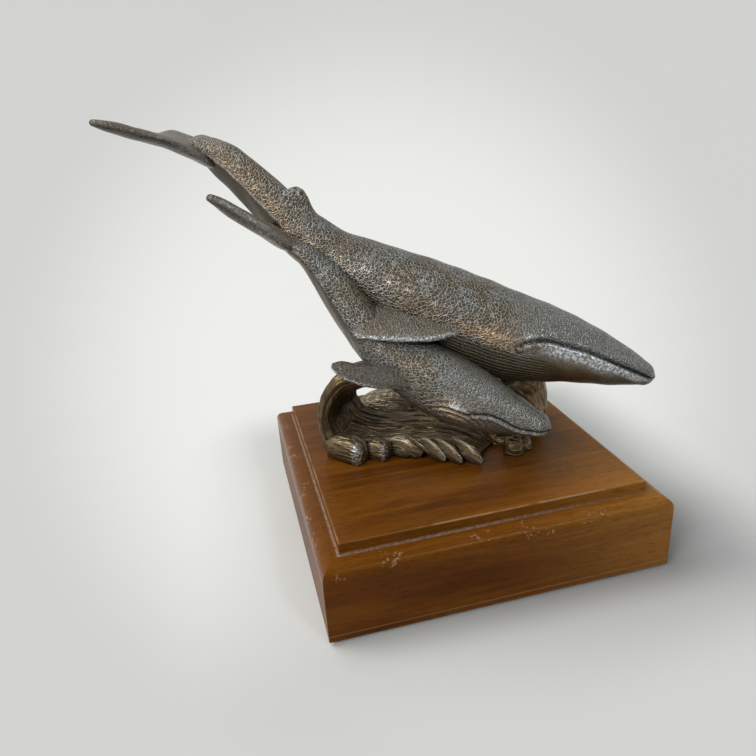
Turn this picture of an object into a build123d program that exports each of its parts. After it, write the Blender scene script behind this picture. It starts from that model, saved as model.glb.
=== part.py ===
"""A cast bronze whale and her calf, diving over a breaking wave on a stepped hardwood plinth.

The plinth's front edge runs along X, Y goes to the back and Z is up. The origin is the centre
of the felt's underside. Both whales and the wave are laid out in upright planes that hold the
whale's heading: "along" runs to the snout, "rise" is up and "side" is towards the viewer's side.
"""
from build123d import *
import math
import os

# Plinth
plinth_width = 145
plinth_depth = 145
plinth_height = 38
tier_inset = 8.2
tier_height = 5.1
roundover_radius = 4.8
tier_edge_radius = 0.6
foot_edge_radius = 0.8
felt_thickness = 1.2
felt_inset = 4
felt_corner_radius = 3

# Fasteners
screw_diameter = 4
screw_length = 32
screw_head_diameter = 7
screw_head_height = 2.6
screw_slot_width = 1.2
screw_slot_depth = 1.2
thread_engagement = 6.5
thread_clearance = 0.05
thread_end_gap = 0.6
screw_hole_clearance = 0.3
washer_diameter = 11
washer_thickness = 1
washer_bore_clearance = 0.2
pocket_clearance = 1.5
dowel_clearance = 0.05
dowel_end_gap = 0.5
dowel_chamfer = 0.4
mother_dowel_diameter = 3
mother_dowel_length = 14
calf_dowel_diameter = 2.5
calf_dowel_length = 11

# Mother
mother_length = 210
mother_middle_height = 65
mother_offset_y = 10
mother_heading = 30
mother_fluke_span = 92
mother_fluke_chord = 22
mother_fluke_thickness = 6.4
mother_fin_thickness = 3.6
mother_flipper_length = 44
mother_flipper_chord = 14
mother_flipper_thickness = 4
mother_eye_radius = 2

# Calf
calf_length = 120
calf_middle_height = 32.5
calf_offset_x = 0.8
calf_offset_y = -19
calf_heading = 36
calf_fluke_span = 58
calf_fluke_chord = 16
calf_fluke_thickness = 4.6
calf_flipper_length = 40
calf_flipper_chord = 13
calf_flipper_thickness = 3.2
calf_eye_radius = 1.5

# Wave
wave_width = 94
wave_depth = 29
wave_near_side = 32
wave_over_seat_share = 1.27
crest_depth = 20
crest_near_side = -3
crest_over_seat_share = 1.10

tier_top = felt_thickness + plinth_height
body_height = plinth_height - tier_height
overrun = 1


def upright_plane(offset_x, offset_y, heading, side=0):
    """The upright plane of a heading: x along it, y up, z towards the near side."""
    turn = math.radians(heading)
    forward = Vector(math.cos(turn), -math.sin(turn), 0)
    near = Vector(-math.sin(turn), -math.cos(turn), 0)
    return Plane(Vector(offset_x, offset_y, 0) + near * side, x_dir=forward, z_dir=near)


def place(frame, along, rise, side=0):
    """The point that lies along, up and to the side of a frame's origin."""
    return frame.origin + frame.x_dir * along + frame.y_dir * rise + frame.z_dir * side


def spine_planes(frame, stations):
    """One plane square to the spine at each station, looking to the tail, with its y up."""
    points = [place(frame, along, rise) for along, rise in stations]
    planes = []
    for index, point in enumerate(points):
        ahead = points[max(index - 1, 0)]
        behind = points[min(index + 1, len(points) - 1)]
        planes.append(Plane(point, x_dir=frame.z_dir, z_dir=behind - ahead))
    return planes


def body_wire(half_width, back, belly, roundness):
    """Half an ellipse over the spine and two belly curves that meet at the keel."""
    EllipticalCenterArc((0, 0), half_width, back, start_angle=0, arc_size=180)
    hip, keel = roundness * belly, roundness * half_width
    Bezier((-half_width, 0), (-half_width, -hip), (-keel, -belly), (0, -belly))
    Bezier((0, -belly), (keel, -belly), (half_width, -hip), (half_width, 0))


def blade_planes(centres, chord_direction):
    """One plane across a fin at each centre, its x along the chord and its z along the fin."""
    planes = []
    for index, point in enumerate(centres):
        before = centres[max(index - 1, 0)]
        after = centres[min(index + 1, len(centres) - 1)]
        span = after - before
        chord = chord_direction - span * (chord_direction.dot(span) / span.dot(span))
        planes.append(Plane(point, x_dir=chord, z_dir=span))
    return planes


def lean(frame, along, rise, side):
    """A direction given along, up and to the side of a frame."""
    return (frame.x_dir * along + frame.y_dir * rise + frame.z_dir * side).normalized()


# Stations of the mother, snout to tail, as shares of her length: along, rise, half width,
# back above the spine, belly below it, and how round the belly is
mother_station_shares = [
    (0.457, -0.155, 0.003, 0.003, 0.003, 0.55),
    (0.450, -0.152, 0.019, 0.014, 0.014, 0.55),
    (0.429, -0.145, 0.033, 0.026, 0.024, 0.55),
    (0.381, -0.129, 0.052, 0.042, 0.045, 0.55),
    (0.318, -0.107, 0.071, 0.058, 0.063, 0.55),
    (0.238, -0.083, 0.088, 0.073, 0.083, 0.55),
    (0.143, -0.055, 0.098, 0.081, 0.094, 0.55),
    (0.038, -0.017, 0.098, 0.085, 0.093, 0.55),
    (-0.057, 0.021, 0.088, 0.081, 0.083, 0.52),
    (-0.143, 0.059, 0.076, 0.071, 0.071, 0.48),
    (-0.219, 0.095, 0.062, 0.062, 0.062, 0.42),
    (-0.286, 0.146, 0.050, 0.055, 0.057, 0.36),
    (-0.348, 0.207, 0.040, 0.050, 0.050, 0.32),
    (-0.400, 0.260, 0.033, 0.046, 0.044, 0.32),
    (-0.443, 0.300, 0.029, 0.043, 0.043, 0.34),
    (-0.476, 0.326, 0.026, 0.036, 0.036, 0.40),
    (-0.510, 0.343, 0.029, 0.024, 0.024, 0.50),
    (-0.538, 0.352, 0.033, 0.014, 0.014, 0.55),
]
# The calf's stations, as shares of its own length
calf_station_shares = [
    (0.329, -0.110, 0.004, 0.004, 0.004, 0.55),
    (0.312, -0.106, 0.025, 0.017, 0.017, 0.55),
    (0.258, -0.093, 0.046, 0.039, 0.035, 0.55),
    (0.183, -0.067, 0.075, 0.064, 0.064, 0.55),
    (0.092, -0.033, 0.100, 0.093, 0.092, 0.55),
    (-0.008, 0.002, 0.117, 0.113, 0.117, 0.55),
    (-0.108, 0.046, 0.121, 0.117, 0.119, 0.55),
    (-0.208, 0.096, 0.113, 0.107, 0.104, 0.52),
    (-0.304, 0.164, 0.100, 0.087, 0.090, 0.46),
    (-0.383, 0.248, 0.083, 0.083, 0.079, 0.40),
    (-0.446, 0.329, 0.067, 0.079, 0.071, 0.36),
    (-0.500, 0.404, 0.054, 0.062, 0.058, 0.36),
    (-0.550, 0.463, 0.044, 0.046, 0.046, 0.42),
    (-0.608, 0.508, 0.037, 0.033, 0.033, 0.50),
    (-0.652, 0.537, 0.034, 0.010, 0.010, 0.55),
]
# Stations across the flukes, near tip to far tip: side, along and rise as shares of the span,
# then the chord and the thickness as shares of the root's
mother_fluke_shares = [
    (0.500, -0.185, 0.147, 0.14, 0.28),
    (0.446, -0.158, 0.130, 0.41, 0.44),
    (0.337, -0.103, 0.087, 0.73, 0.58),
    (0.207, -0.049, 0.043, 0.95, 0.76),
    (0.098, -0.011, 0.016, 1.05, 0.95),
    (0.000, 0.000, 0.000, 1.00, 1.08),
    (-0.098, -0.011, 0.003, 1.05, 0.95),
    (-0.207, -0.049, 0.016, 0.95, 0.76),
    (-0.337, -0.103, 0.038, 0.73, 0.58),
    (-0.446, -0.158, 0.054, 0.41, 0.44),
    (-0.500, -0.185, 0.060, 0.14, 0.28),
]
calf_fluke_shares = [
    (0.500, -0.200, 0.350, 0.16, 0.30),
    (0.446, -0.175, 0.310, 0.42, 0.48),
    (0.320, -0.110, 0.205, 0.75, 0.66),
    (0.160, -0.035, 0.090, 1.00, 0.88),
    (0.000, 0.000, 0.000, 1.05, 1.05),
    (-0.160, -0.035, -0.100, 1.00, 0.88),
    (-0.320, -0.110, -0.200, 0.75, 0.66),
    (-0.446, -0.175, -0.280, 0.42, 0.48),
    (-0.500, -0.200, -0.310, 0.16, 0.30),
]
# Stations along a flipper, root to tip: share of its length, chord and thickness as shares
flipper_shares = [
    (0.00, 0.86, 1.00),
    (0.25, 1.00, 0.95),
    (0.50, 0.92, 0.80),
    (0.75, 0.70, 0.62),
    (0.93, 0.38, 0.45),
    (1.00, 0.14, 0.30),
]

mother_frame = upright_plane(0, mother_offset_y, mother_heading)
calf_frame = upright_plane(calf_offset_x, calf_offset_y, calf_heading)
mother_base = tier_top + mother_middle_height
calf_base = tier_top + calf_middle_height

mother_spine = [
    (along * mother_length, mother_base + rise * mother_length)
    for along, rise, *_ in mother_station_shares
]
calf_spine = [
    (along * calf_length, calf_base + rise * calf_length)
    for along, rise, *_ in calf_station_shares
]
mother_fluke_root = (-0.519 * mother_length, mother_base + 0.338 * mother_length)
calf_fluke_root = (-0.675 * calf_length, calf_base + 0.552 * calf_length)


def fluke_centres(frame, root, span, shares):
    """The middle of each fluke section, near tip to far tip."""
    along, rise = root
    return [
        place(frame, along + swept * span, rise + raised * span, side * span)
        for side, swept, raised, *_ in shares
    ]


def flipper_centres(root, tip, length):
    """The middle of each flipper section, from inside the body towards the tip."""
    reach = (tip - root).normalized() * length
    return [root + reach * share for share, *_ in flipper_shares]


def eye_points(frame, base, length, shares):
    """Both eyes, mirrored across the whale's middle."""
    along, rise, side = shares
    return [
        place(frame, along * length, base + rise * length, hand * side * length)
        for hand in (1, -1)
    ]


def belly_height(stations, base, length, along):
    """Height of the keel under a place along the whale, read between its stations."""
    keel = [(row[0] * length, base + (row[1] - row[4]) * length) for row in stations]
    for (front, front_rise), (rear, rear_rise) in zip(keel, keel[1:]):
        if rear <= along <= front:
            return rear_rise + (front_rise - rear_rise) * (along - rear) / (front - rear)
    raise ValueError("no belly over this place")


def sized(shares, width, height):
    """An outline in millimetres from shares of a width and a height."""
    return [(along * width, rise * height) for along, rise in shares]


# The mother's back fin from its front foot over the hump to the notch behind it, then the two
# corners that lie inside her back: along and rise as shares of her length
mother_fin_shares = [
    (-0.245, 0.180), (-0.256, 0.201), (-0.266, 0.225), (-0.277, 0.242), (-0.290, 0.2485),
    (-0.300, 0.247), (-0.307, 0.241),
]
mother_fin_foot_shares = [(-0.300, 0.215), (-0.262, 0.165)]

# Where the wave carries the whales: the rear crest under the mother's throat, and the curl
# under the calf's belly, each with an upright dowel at the belly's height
mother_seat_shares = (0.181, -0.038)
calf_seat_along_share = -0.225
along, side = mother_seat_shares
mother_seat_height = belly_height(
    mother_station_shares, mother_base, mother_length, along * mother_length
)
mother_dowel_middle = place(
    mother_frame, along * mother_length, mother_seat_height, side * mother_length
)
calf_seat_height = belly_height(
    calf_station_shares, calf_base, calf_length, calf_seat_along_share * calf_length
)
calf_dowel_middle = place(calf_frame, calf_seat_along_share * calf_length, calf_seat_height)
dowel_sizes = {
    "mother_dowel_pin": (mother_dowel_middle, mother_dowel_diameter, mother_dowel_length),
    "calf_dowel_pin": (calf_dowel_middle, calf_dowel_diameter, calf_dowel_length),
}
crest_height = (mother_seat_height - tier_top) * crest_over_seat_share
wave_height = (calf_seat_height - tier_top) * wave_over_seat_share

# Screws, from pockets under the plinth into the trough of the wave
washer_bottom = tier_top + thread_engagement - screw_length
pocket_depth = washer_bottom + washer_thickness - felt_thickness
screw_place_shares = [(-0.140, 0.085), (0.180, 0.085)]
screw_points = [
    place(mother_frame, along * wave_width, tier_top, side * wave_width)
    for along, side in screw_place_shares
]
screw_spots = [(point.X, point.Y) for point in screw_points]

# Each flipper: root and tip, chord direction, length, chord and thickness
mother_flipper_sizes = (mother_flipper_length, mother_flipper_chord, mother_flipper_thickness)
calf_flipper_sizes = (calf_flipper_length, calf_flipper_chord, calf_flipper_thickness)


def flipper_point(frame, base, length, shares):
    """A place near a whale, from shares of its length."""
    along, rise, side = (share * length for share in shares)
    return place(frame, along, base + rise, side)


flipper_sizes = {
    "mother_near_flipper": (
        flipper_point(mother_frame, mother_base, mother_length, (0.065, -0.032, 0.085)),
        flipper_point(mother_frame, mother_base, mother_length, (-0.133, -0.020, 0.150)),
        lean(mother_frame, 0.15, -0.45, 0.85),
        *mother_flipper_sizes,
    ),
    "mother_far_flipper": (
        flipper_point(mother_frame, mother_base, mother_length, (0.065, -0.045, -0.080)),
        flipper_point(mother_frame, mother_base, mother_length, (-0.090, -0.080, -0.190)),
        lean(mother_frame, 0.60, -0.60, -0.30),
        *mother_flipper_sizes,
    ),
    "calf_near_flipper": (
        flipper_point(calf_frame, calf_base, calf_length, (-0.125, 0.030, 0.085)),
        flipper_point(calf_frame, calf_base, calf_length, (-0.350, 0.165, 0.265)),
        lean(calf_frame, 0.30, -0.85, 0.40),
        *calf_flipper_sizes,
    ),
    "calf_far_flipper": (
        flipper_point(calf_frame, calf_base, calf_length, (-0.125, 0.020, -0.085)),
        flipper_point(calf_frame, calf_base, calf_length, (-0.330, 0.110, -0.240)),
        lean(calf_frame, 0.50, -0.75, -0.40),
        *calf_flipper_sizes,
    ),
}

# Sections of the curl and its trough, far rim to near rim: where the section stands as a share
# of the wave's depth, the outside from the foot up to the tip, then the inside from the tip
# down the hollow and along the trough, as shares of the wave's width and height
curl_section_shares = [
    (
        0.00,
        [(-0.46, 0), (-0.49, 0.23), (-0.49, 0.47), (-0.45, 0.67), (-0.37, 0.81), (-0.29, 0.85),
         (-0.22, 0.80)],
        [(-0.22, 0.69), (-0.31, 0.66), (-0.38, 0.58), (-0.415, 0.43), (-0.38, 0.28),
         (-0.27, 0.225), (-0.08, 0.245), (0.15, 0.21), (0.33, 0.06)],
    ),
    (
        0.31,
        [(-0.48, 0), (-0.515, 0.23), (-0.515, 0.49), (-0.47, 0.73), (-0.38, 0.88), (-0.27, 0.92),
         (-0.14, 0.88)],
        [(-0.14, 0.73), (-0.27, 0.72), (-0.38, 0.62), (-0.435, 0.41), (-0.40, 0.245),
         (-0.28, 0.20), (-0.08, 0.235), (0.14, 0.20), (0.30, 0.06)],
    ),
    (
        0.66,
        [(-0.49, 0), (-0.515, 0.23), (-0.515, 0.51), (-0.475, 0.755), (-0.39, 0.91), (-0.28, 0.95),
         (-0.13, 0.91)],
        [(-0.13, 0.76), (-0.26, 0.735), (-0.38, 0.63), (-0.44, 0.40), (-0.41, 0.20),
         (-0.29, 0.14), (-0.08, 0.185), (0.13, 0.17), (0.26, 0.05)],
    ),
    (
        1.00,
        [(-0.485, 0), (-0.51, 0.23), (-0.51, 0.535), (-0.47, 0.77), (-0.41, 0.92), (-0.35, 0.97),
         (-0.28, 0.98)],
        [(-0.275, 0.84), (-0.36, 0.755), (-0.425, 0.60), (-0.455, 0.37), (-0.43, 0.165),
         (-0.31, 0.105), (-0.08, 0.14), (0.13, 0.115), (0.23, 0.04)],
    ),
]
# Sections of the rear crest, far to near, from its hollow side over the top to its back
crest_section_shares = [
    (
        0.0,
        [(0.29, 0), (0.33, 0.20), (0.36, 0.42), (0.38, 0.58), (0.41, 0.60), (0.47, 0.46),
         (0.50, 0.28), (0.49, 0)],
    ),
    (
        0.4,
        [(0.27, 0), (0.34, 0.20), (0.40, 0.45), (0.38, 0.75), (0.36, 1.04), (0.45, 0.92),
         (0.53, 0.45), (0.50, 0)],
    ),
    (
        0.75,
        [(0.27, 0), (0.34, 0.22), (0.40, 0.48), (0.37, 0.76), (0.34, 1.02), (0.43, 0.96),
         (0.53, 0.45), (0.49, 0)],
    ),
    (
        1.0,
        [(0.27, 0), (0.33, 0.18), (0.38, 0.40), (0.36, 0.66), (0.35, 0.86), (0.41, 0.82),
         (0.48, 0.40), (0.46, 0)],
    ),
]
# Low mounds round the foot: place along and to the side, turn in degrees, length and width as
# shares of the wave's width, height as a share of the wave's. The swell behind comes first.
mound_taper = 28
mound_shares = [
    (-0.24, -0.13, 0, 0.46, 0.26, 0.28),
    (0.12, -0.13, 0, 0.60, 0.24, 0.20),
    (-0.39, 0.36, 20, 0.14, 0.11, 0.21),
    (-0.31, 0.37, -15, 0.13, 0.10, 0.19),
    (-0.21, 0.33, 35, 0.16, 0.09, 0.16),
    (-0.09, 0.34, 30, 0.17, 0.08, 0.17),
    (0.03, 0.35, 25, 0.17, 0.08, 0.16),
    (0.14, 0.34, 25, 0.16, 0.08, 0.14),
    (0.38, 0.18, 0, 0.15, 0.12, 0.20),
    (0.46, 0.12, 10, 0.12, 0.10, 0.13),
    (0.34, 0.02, 0, 0.26, 0.22, 0.16),
]

# Mother: body, flukes, back fin, eyes
mother_fluke_chord_direction = lean(mother_frame, 0.98, -0.20, 0)
mother_eye_shares = (0.214, -0.049, 0.084)

with BuildPart() as mother_whale:
    stations = list(zip(spine_planes(mother_frame, mother_spine), mother_station_shares))
    for plane, (_, _, width, back, belly, roundness) in stations:
        with BuildSketch(plane):
            with BuildLine():
                body_wire(
                    width * mother_length, back * mother_length, belly * mother_length, roundness
                )
            make_face()
    loft()
    planes = blade_planes(
        fluke_centres(mother_frame, mother_fluke_root, mother_fluke_span, mother_fluke_shares),
        mother_fluke_chord_direction,
    )
    for plane, (_, _, _, chord, thickness) in zip(planes, mother_fluke_shares):
        with BuildSketch(plane):
            Ellipse(chord * mother_fluke_chord / 2, thickness * mother_fluke_thickness / 2)
    loft()
    level = place(mother_frame, 0, mother_base)
    with BuildSketch(Plane(level, x_dir=mother_frame.x_dir, z_dir=mother_frame.z_dir)):
        with BuildLine():
            hump = Spline(*sized(mother_fin_shares, mother_length, mother_length))
            foot = sized(mother_fin_foot_shares, mother_length, mother_length)
            Polyline(hump @ 1, *foot, hump @ 0)
        make_face()
    extrude(amount=mother_fin_thickness / 2, both=True)
    with Locations(*eye_points(mother_frame, mother_base, mother_length, mother_eye_shares)):
        Sphere(mother_eye_radius)
    with Locations(mother_dowel_middle):
        Cylinder(
            mother_dowel_diameter / 2 + dowel_clearance,
            mother_dowel_length + 2 * dowel_end_gap,
            mode=Mode.SUBTRACT,
        )

# Calf: the same forms at its own size, cut to lie against the mother
calf_fluke_chord_direction = lean(calf_frame, 0.94, -0.34, 0)
calf_eye_shares = (0.050, -0.022, 0.106)

with BuildPart() as calf_whale:
    stations = list(zip(spine_planes(calf_frame, calf_spine), calf_station_shares))
    for plane, (_, _, width, back, belly, roundness) in stations:
        with BuildSketch(plane):
            with BuildLine():
                body_wire(
                    width * calf_length, back * calf_length, belly * calf_length, roundness
                )
            make_face()
    loft()
    planes = blade_planes(
        fluke_centres(calf_frame, calf_fluke_root, calf_fluke_span, calf_fluke_shares),
        calf_fluke_chord_direction,
    )
    for plane, (_, _, _, chord, thickness) in zip(planes, calf_fluke_shares):
        with BuildSketch(plane):
            Ellipse(chord * calf_fluke_chord / 2, thickness * calf_fluke_thickness / 2)
    loft()
    with Locations(*eye_points(calf_frame, calf_base, calf_length, calf_eye_shares)):
        Sphere(calf_eye_radius)
    add(mother_whale.part, mode=Mode.SUBTRACT)
    with Locations(calf_dowel_middle):
        Cylinder(
            calf_dowel_diameter / 2 + dowel_clearance,
            calf_dowel_length + 2 * dowel_end_gap,
            mode=Mode.SUBTRACT,
        )

# Flippers, each cut square to its whale's flank and to what it lies on
flippers = {}
for name, (root, tip, chord_direction, length, chord_width, thick) in flipper_sizes.items():
    with BuildPart() as flipper:
        planes = blade_planes(flipper_centres(root, tip, length), chord_direction)
        for plane, (_, chord, thickness) in zip(planes, flipper_shares):
            with BuildSketch(plane):
                Ellipse(chord * chord_width / 2, thickness * thick / 2)
        loft()
        add(mother_whale.part, mode=Mode.SUBTRACT)
        add(calf_whale.part, mode=Mode.SUBTRACT)
    flippers[name] = flipper.part

# Wave: the near curl over its trough, the swell behind it, the rear crest and the foam
with BuildPart() as wave_casting:
    for side, outer, inner in curl_section_shares:
        frame = upright_plane(
            0, mother_offset_y, mother_heading, wave_near_side + (side - 1) * wave_depth
        )
        with BuildSketch(Plane(frame.origin + frame.y_dir * tier_top, frame.x_dir, frame.z_dir)):
            with BuildLine():
                outside = Spline(*sized(outer, wave_width, wave_height))
                inside = Spline(*sized(inner, wave_width, wave_height))
                Line(outside @ 1, inside @ 0)
                Polyline(inside @ 1, ((inside @ 1).X, 0), outside @ 0)
            make_face()
    loft()
    for side, outline in crest_section_shares:
        frame = upright_plane(
            0, mother_offset_y, mother_heading, crest_near_side + (side - 1) * crest_depth
        )
        with BuildSketch(Plane(frame.origin + frame.y_dir * tier_top, frame.x_dir, frame.z_dir)):
            with BuildLine():
                edge = Spline(*sized(outline, wave_width, crest_height))
                Line(edge @ 1, edge @ 0)
            make_face()
    loft()
    for along, side, turn, length, width, height in mound_shares:
        spot = place(mother_frame, along * wave_width, tier_top, side * wave_width)
        with BuildSketch(
            Plane(spot, x_dir=mother_frame.x_dir, z_dir=(0, 0, 1)).rotated((0, 0, turn))
        ):
            Ellipse(length * wave_width / 2, width * wave_width / 2)
        extrude(amount=height * wave_height, taper=mound_taper)
    split(bisect_by=Plane.XY.offset(tier_top), keep=Keep.TOP)
    add(mother_whale.part, mode=Mode.SUBTRACT)
    add(calf_whale.part, mode=Mode.SUBTRACT)
    for piece in flippers.values():
        add(piece, mode=Mode.SUBTRACT)
    with Locations(mother_dowel_middle):
        Cylinder(
            mother_dowel_diameter / 2 + dowel_clearance,
            mother_dowel_length + 2 * dowel_end_gap,
            mode=Mode.SUBTRACT,
        )
    with Locations(calf_dowel_middle):
        Cylinder(
            calf_dowel_diameter / 2 + dowel_clearance,
            calf_dowel_length + 2 * dowel_end_gap,
            mode=Mode.SUBTRACT,
        )
    with Locations(*screw_points):
        Cylinder(
            screw_diameter / 2 + thread_clearance,
            2 * (thread_engagement + thread_end_gap),
            mode=Mode.SUBTRACT,
        )

# Dowels, upright in the crest and the curl under each belly
dowels = {}
for name, (middle, diameter, length) in dowel_sizes.items():
    with BuildPart() as dowel:
        with Locations(middle):
            Cylinder(diameter / 2, length)
        chamfer(dowel.edges().filter_by(GeomType.CIRCLE), dowel_chamfer)
    dowels[name] = dowel.part

# Plinth: block with a rounded shoulder, raised tier, two screw pockets from below
with BuildPart() as wood_plinth:
    with BuildSketch(Plane.XY.offset(felt_thickness)):
        Rectangle(plinth_width, plinth_depth)
    extrude(amount=body_height)
    fillet(wood_plinth.faces().sort_by(Axis.Z)[-1].edges(), roundover_radius)
    fillet(wood_plinth.faces().sort_by(Axis.Z)[0].edges(), foot_edge_radius)
    with BuildSketch(Plane.XY.offset(felt_thickness + body_height)):
        Rectangle(plinth_width - 2 * tier_inset, plinth_depth - 2 * tier_inset)
    extrude(amount=tier_height)
    fillet(wood_plinth.faces().sort_by(Axis.Z)[-1].edges(), tier_edge_radius)
    with BuildSketch(Plane.XY.offset(felt_thickness)):
        with Locations(*screw_spots):
            Circle(washer_diameter / 2 + pocket_clearance)
    extrude(amount=pocket_depth, mode=Mode.SUBTRACT)
    with BuildSketch(Plane.XY.offset(felt_thickness)):
        with Locations(*screw_spots):
            Circle(screw_diameter / 2 + screw_hole_clearance)
    extrude(amount=plinth_height, mode=Mode.SUBTRACT)

with BuildPart() as felt_pad:
    with BuildSketch():
        RectangleRounded(
            plinth_width - 2 * felt_inset, plinth_depth - 2 * felt_inset, felt_corner_radius
        )
    extrude(amount=felt_thickness)

# Screws and washers, in the pockets under the plinth
with BuildPart() as mounting_washers:
    with BuildSketch(Plane.XY.offset(washer_bottom)):
        with Locations(*screw_spots):
            Circle(washer_diameter / 2)
            Circle(screw_diameter / 2 + washer_bore_clearance, mode=Mode.SUBTRACT)
    extrude(amount=washer_thickness)

with BuildPart() as mounting_screws:
    with BuildSketch(Plane.XY.offset(washer_bottom)):
        with Locations(*screw_spots):
            Circle(screw_diameter / 2)
    extrude(amount=screw_length)
    with BuildSketch(Plane.XY.offset(washer_bottom)):
        with Locations(*screw_spots):
            Circle(screw_head_diameter / 2)
    extrude(amount=-screw_head_height)
    with BuildSketch(Plane.XY.offset(washer_bottom - screw_head_height)):
        with Locations(*screw_spots):
            Rectangle(screw_head_diameter + overrun, screw_slot_width)
    extrude(amount=screw_slot_depth, mode=Mode.SUBTRACT)

pieces = {
    "wood_plinth": wood_plinth.part,
    "felt_pad": felt_pad.part,
    "mounting_screws": mounting_screws.part,
    "mounting_washers": mounting_washers.part,
    "wave_casting": wave_casting.part,
    "mother_whale": mother_whale.part,
    "calf_whale": calf_whale.part,
    **flippers,
    **dowels,
}
os.makedirs("parts", exist_ok=True)
for name, piece in pieces.items():
    piece.label = name
    export_step(piece, f"parts/{name}.step")
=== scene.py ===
"""Looks of a bronze whale and her calf over a breaking wave, on a stained hardwood plinth.

The frame is in metres: X runs along the plinth's front edge, Y goes to the back, Z is up, and
the origin is the middle of the felt's underside. The shapes below are worked out in
millimetres and scaled once, when their mesh is made.
"""

import math

import bpy
import numpy as np
from mathutils import Matrix, Vector


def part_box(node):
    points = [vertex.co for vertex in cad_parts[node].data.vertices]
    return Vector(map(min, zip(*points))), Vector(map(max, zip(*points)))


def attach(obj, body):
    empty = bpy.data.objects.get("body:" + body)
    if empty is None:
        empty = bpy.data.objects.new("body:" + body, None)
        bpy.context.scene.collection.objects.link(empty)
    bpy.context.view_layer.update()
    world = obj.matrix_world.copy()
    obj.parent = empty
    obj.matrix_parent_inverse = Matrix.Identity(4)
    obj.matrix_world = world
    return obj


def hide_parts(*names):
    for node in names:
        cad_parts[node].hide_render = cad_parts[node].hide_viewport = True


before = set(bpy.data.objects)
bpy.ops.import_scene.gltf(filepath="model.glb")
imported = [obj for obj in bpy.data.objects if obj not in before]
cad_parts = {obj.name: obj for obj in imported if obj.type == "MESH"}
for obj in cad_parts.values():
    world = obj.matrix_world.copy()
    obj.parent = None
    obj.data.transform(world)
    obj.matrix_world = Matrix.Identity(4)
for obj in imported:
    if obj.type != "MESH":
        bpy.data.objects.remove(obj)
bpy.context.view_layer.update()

bl_info = {
    "name": "Bronze Whale and Calf",
    "version": (1, 0, 0),
    "blender": (4, 5, 0),
    "location": "3D View > Sidebar > Bronze Whales",
    "description": "Sculpts and finishes a bronze whale, her calf, their wave and the plinth",
    "category": "Add Mesh",
}

MM = 0.001
_, wood_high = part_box("wood_plinth")
TIER_TOP = wood_high.z / MM
PLINTH_HALF = wood_high.x / MM
# How far the raised tier stands in from the plinth's sides, and its height
TIER_INSET = 8.2
TIER_HEIGHT = 5.1
# Skin: how far the dimples wander in metres, pleats round the throat and their depth in metres
DIMPLE_WANDER = (0.0014, 0.0014, 0.0014)
PLEAT_RATE = 78.0
PLEAT_DEPTH = 0.00035
# How much longer the dimples are along the body than across it, the calf's head dimples as a
# share of the ones on its body, and the width and stretch of the water's lines
MOTHER_STRETCH = 1.15
CALF_STRETCH = 1.7
CALF_HEAD_SHARE = 0.8
WATER_LINE = 0.0017
WATER_STRETCH = 9.0
# Wood: turn of the grain in radians, and height of the worn line near the foot in metres
GRAIN_TURN = (0.0, 0.15, 0.16)
FOOT_LINE = 0.0042

# Floor and backdrop in metres: front edge, start and radius of the bend, top, half width
FLOOR_FRONT = 1.6
BEND_START = 0.8
BEND = 0.7
BEND_STEPS = 40
BACKDROP_TOP = 2.6
FLOOR_HALF = 2.4
# Painted pool of light on the floor and backdrop: a place and direction, and the cosines between
# which it fades
POOL_PLACE = (-0.092, -0.270, 0.191)
POOL_WAY = (0.206, 0.900, -0.385)
POOL_EDGE = (0.976, 0.862)
# Shadow: middle and half sides of the box round the plinth's foot, the fade beyond it, the
# share of the floor's own glow there, and how much darker the lit floor is painted from left to
# right, a painted shade that deepens the shadow
SHADOW_MIDDLE = (0.012, 0.012, 0.0)
SHADOW_HALF = (0.0845, 0.0845, 0.0)
SHADOW_FADE = 0.06
GLOW_SHARE = 0.97
SHADOW_SIDE = (-0.10, 0.02)
SHADOW_TONE = 0.74
# Suns: name, the setting of its strength, width in radians, way towards it, colour
SUNS = [
    ("Overhead light", "key_power", 0.90, (-0.56, 0.45, 0.95), (1.0, 1.0, 1.0)),
    ("Front light", "front_power", 0.45, (-0.90, -0.62, 0.80), (1.0, 1.0, 1.0)),
    ("Window light", "window_power", 0.14, (0.32, -0.75, 0.65), (0.80, 0.92, 1.0)),
]
# The world's strength where it is seen or mirrored
SEEN_WORLD = 0.62
# Camera fitted to the plinth's edges: place in metres, angles in radians, lens in millimetres
CAMERA_PLACE = (-0.092035, -0.269855, 0.190709)
CAMERA_YAW = 0.225
CAMERA_PITCH = 0.3953
CAMERA_ROLL = -0.0673
LENS_LENGTH = 32.08
SENSOR_WIDTH = 36.0


class Heading:
    """An upright frame: along runs to the snout, rise is up and side is towards the viewer."""

    def __init__(self, offset_x, offset_y, degrees, base):
        turn = math.radians(degrees)
        self.origin = np.array([offset_x, offset_y, 0.0])
        self.forward = np.array([math.cos(turn), -math.sin(turn), 0.0])
        self.near = np.array([-math.sin(turn), -math.cos(turn), 0.0])
        self.up = np.array([0.0, 0.0, 1.0])
        self.base = base

    def place(self, along, rise, side):
        """Origin plus along, rise and side times their directions, for arrays of any shape."""
        along, rise, side = np.broadcast_arrays(along, rise, side)
        return (
            self.origin
            + along[..., None] * self.forward
            + rise[..., None] * self.up
            + side[..., None] * self.near
        )

    def lean(self, along, rise, side):
        """The unit direction of a mix of along, rise and side."""
        mixed = along * self.forward + rise * self.up + side * self.near
        return mixed / np.linalg.norm(mixed)


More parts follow.
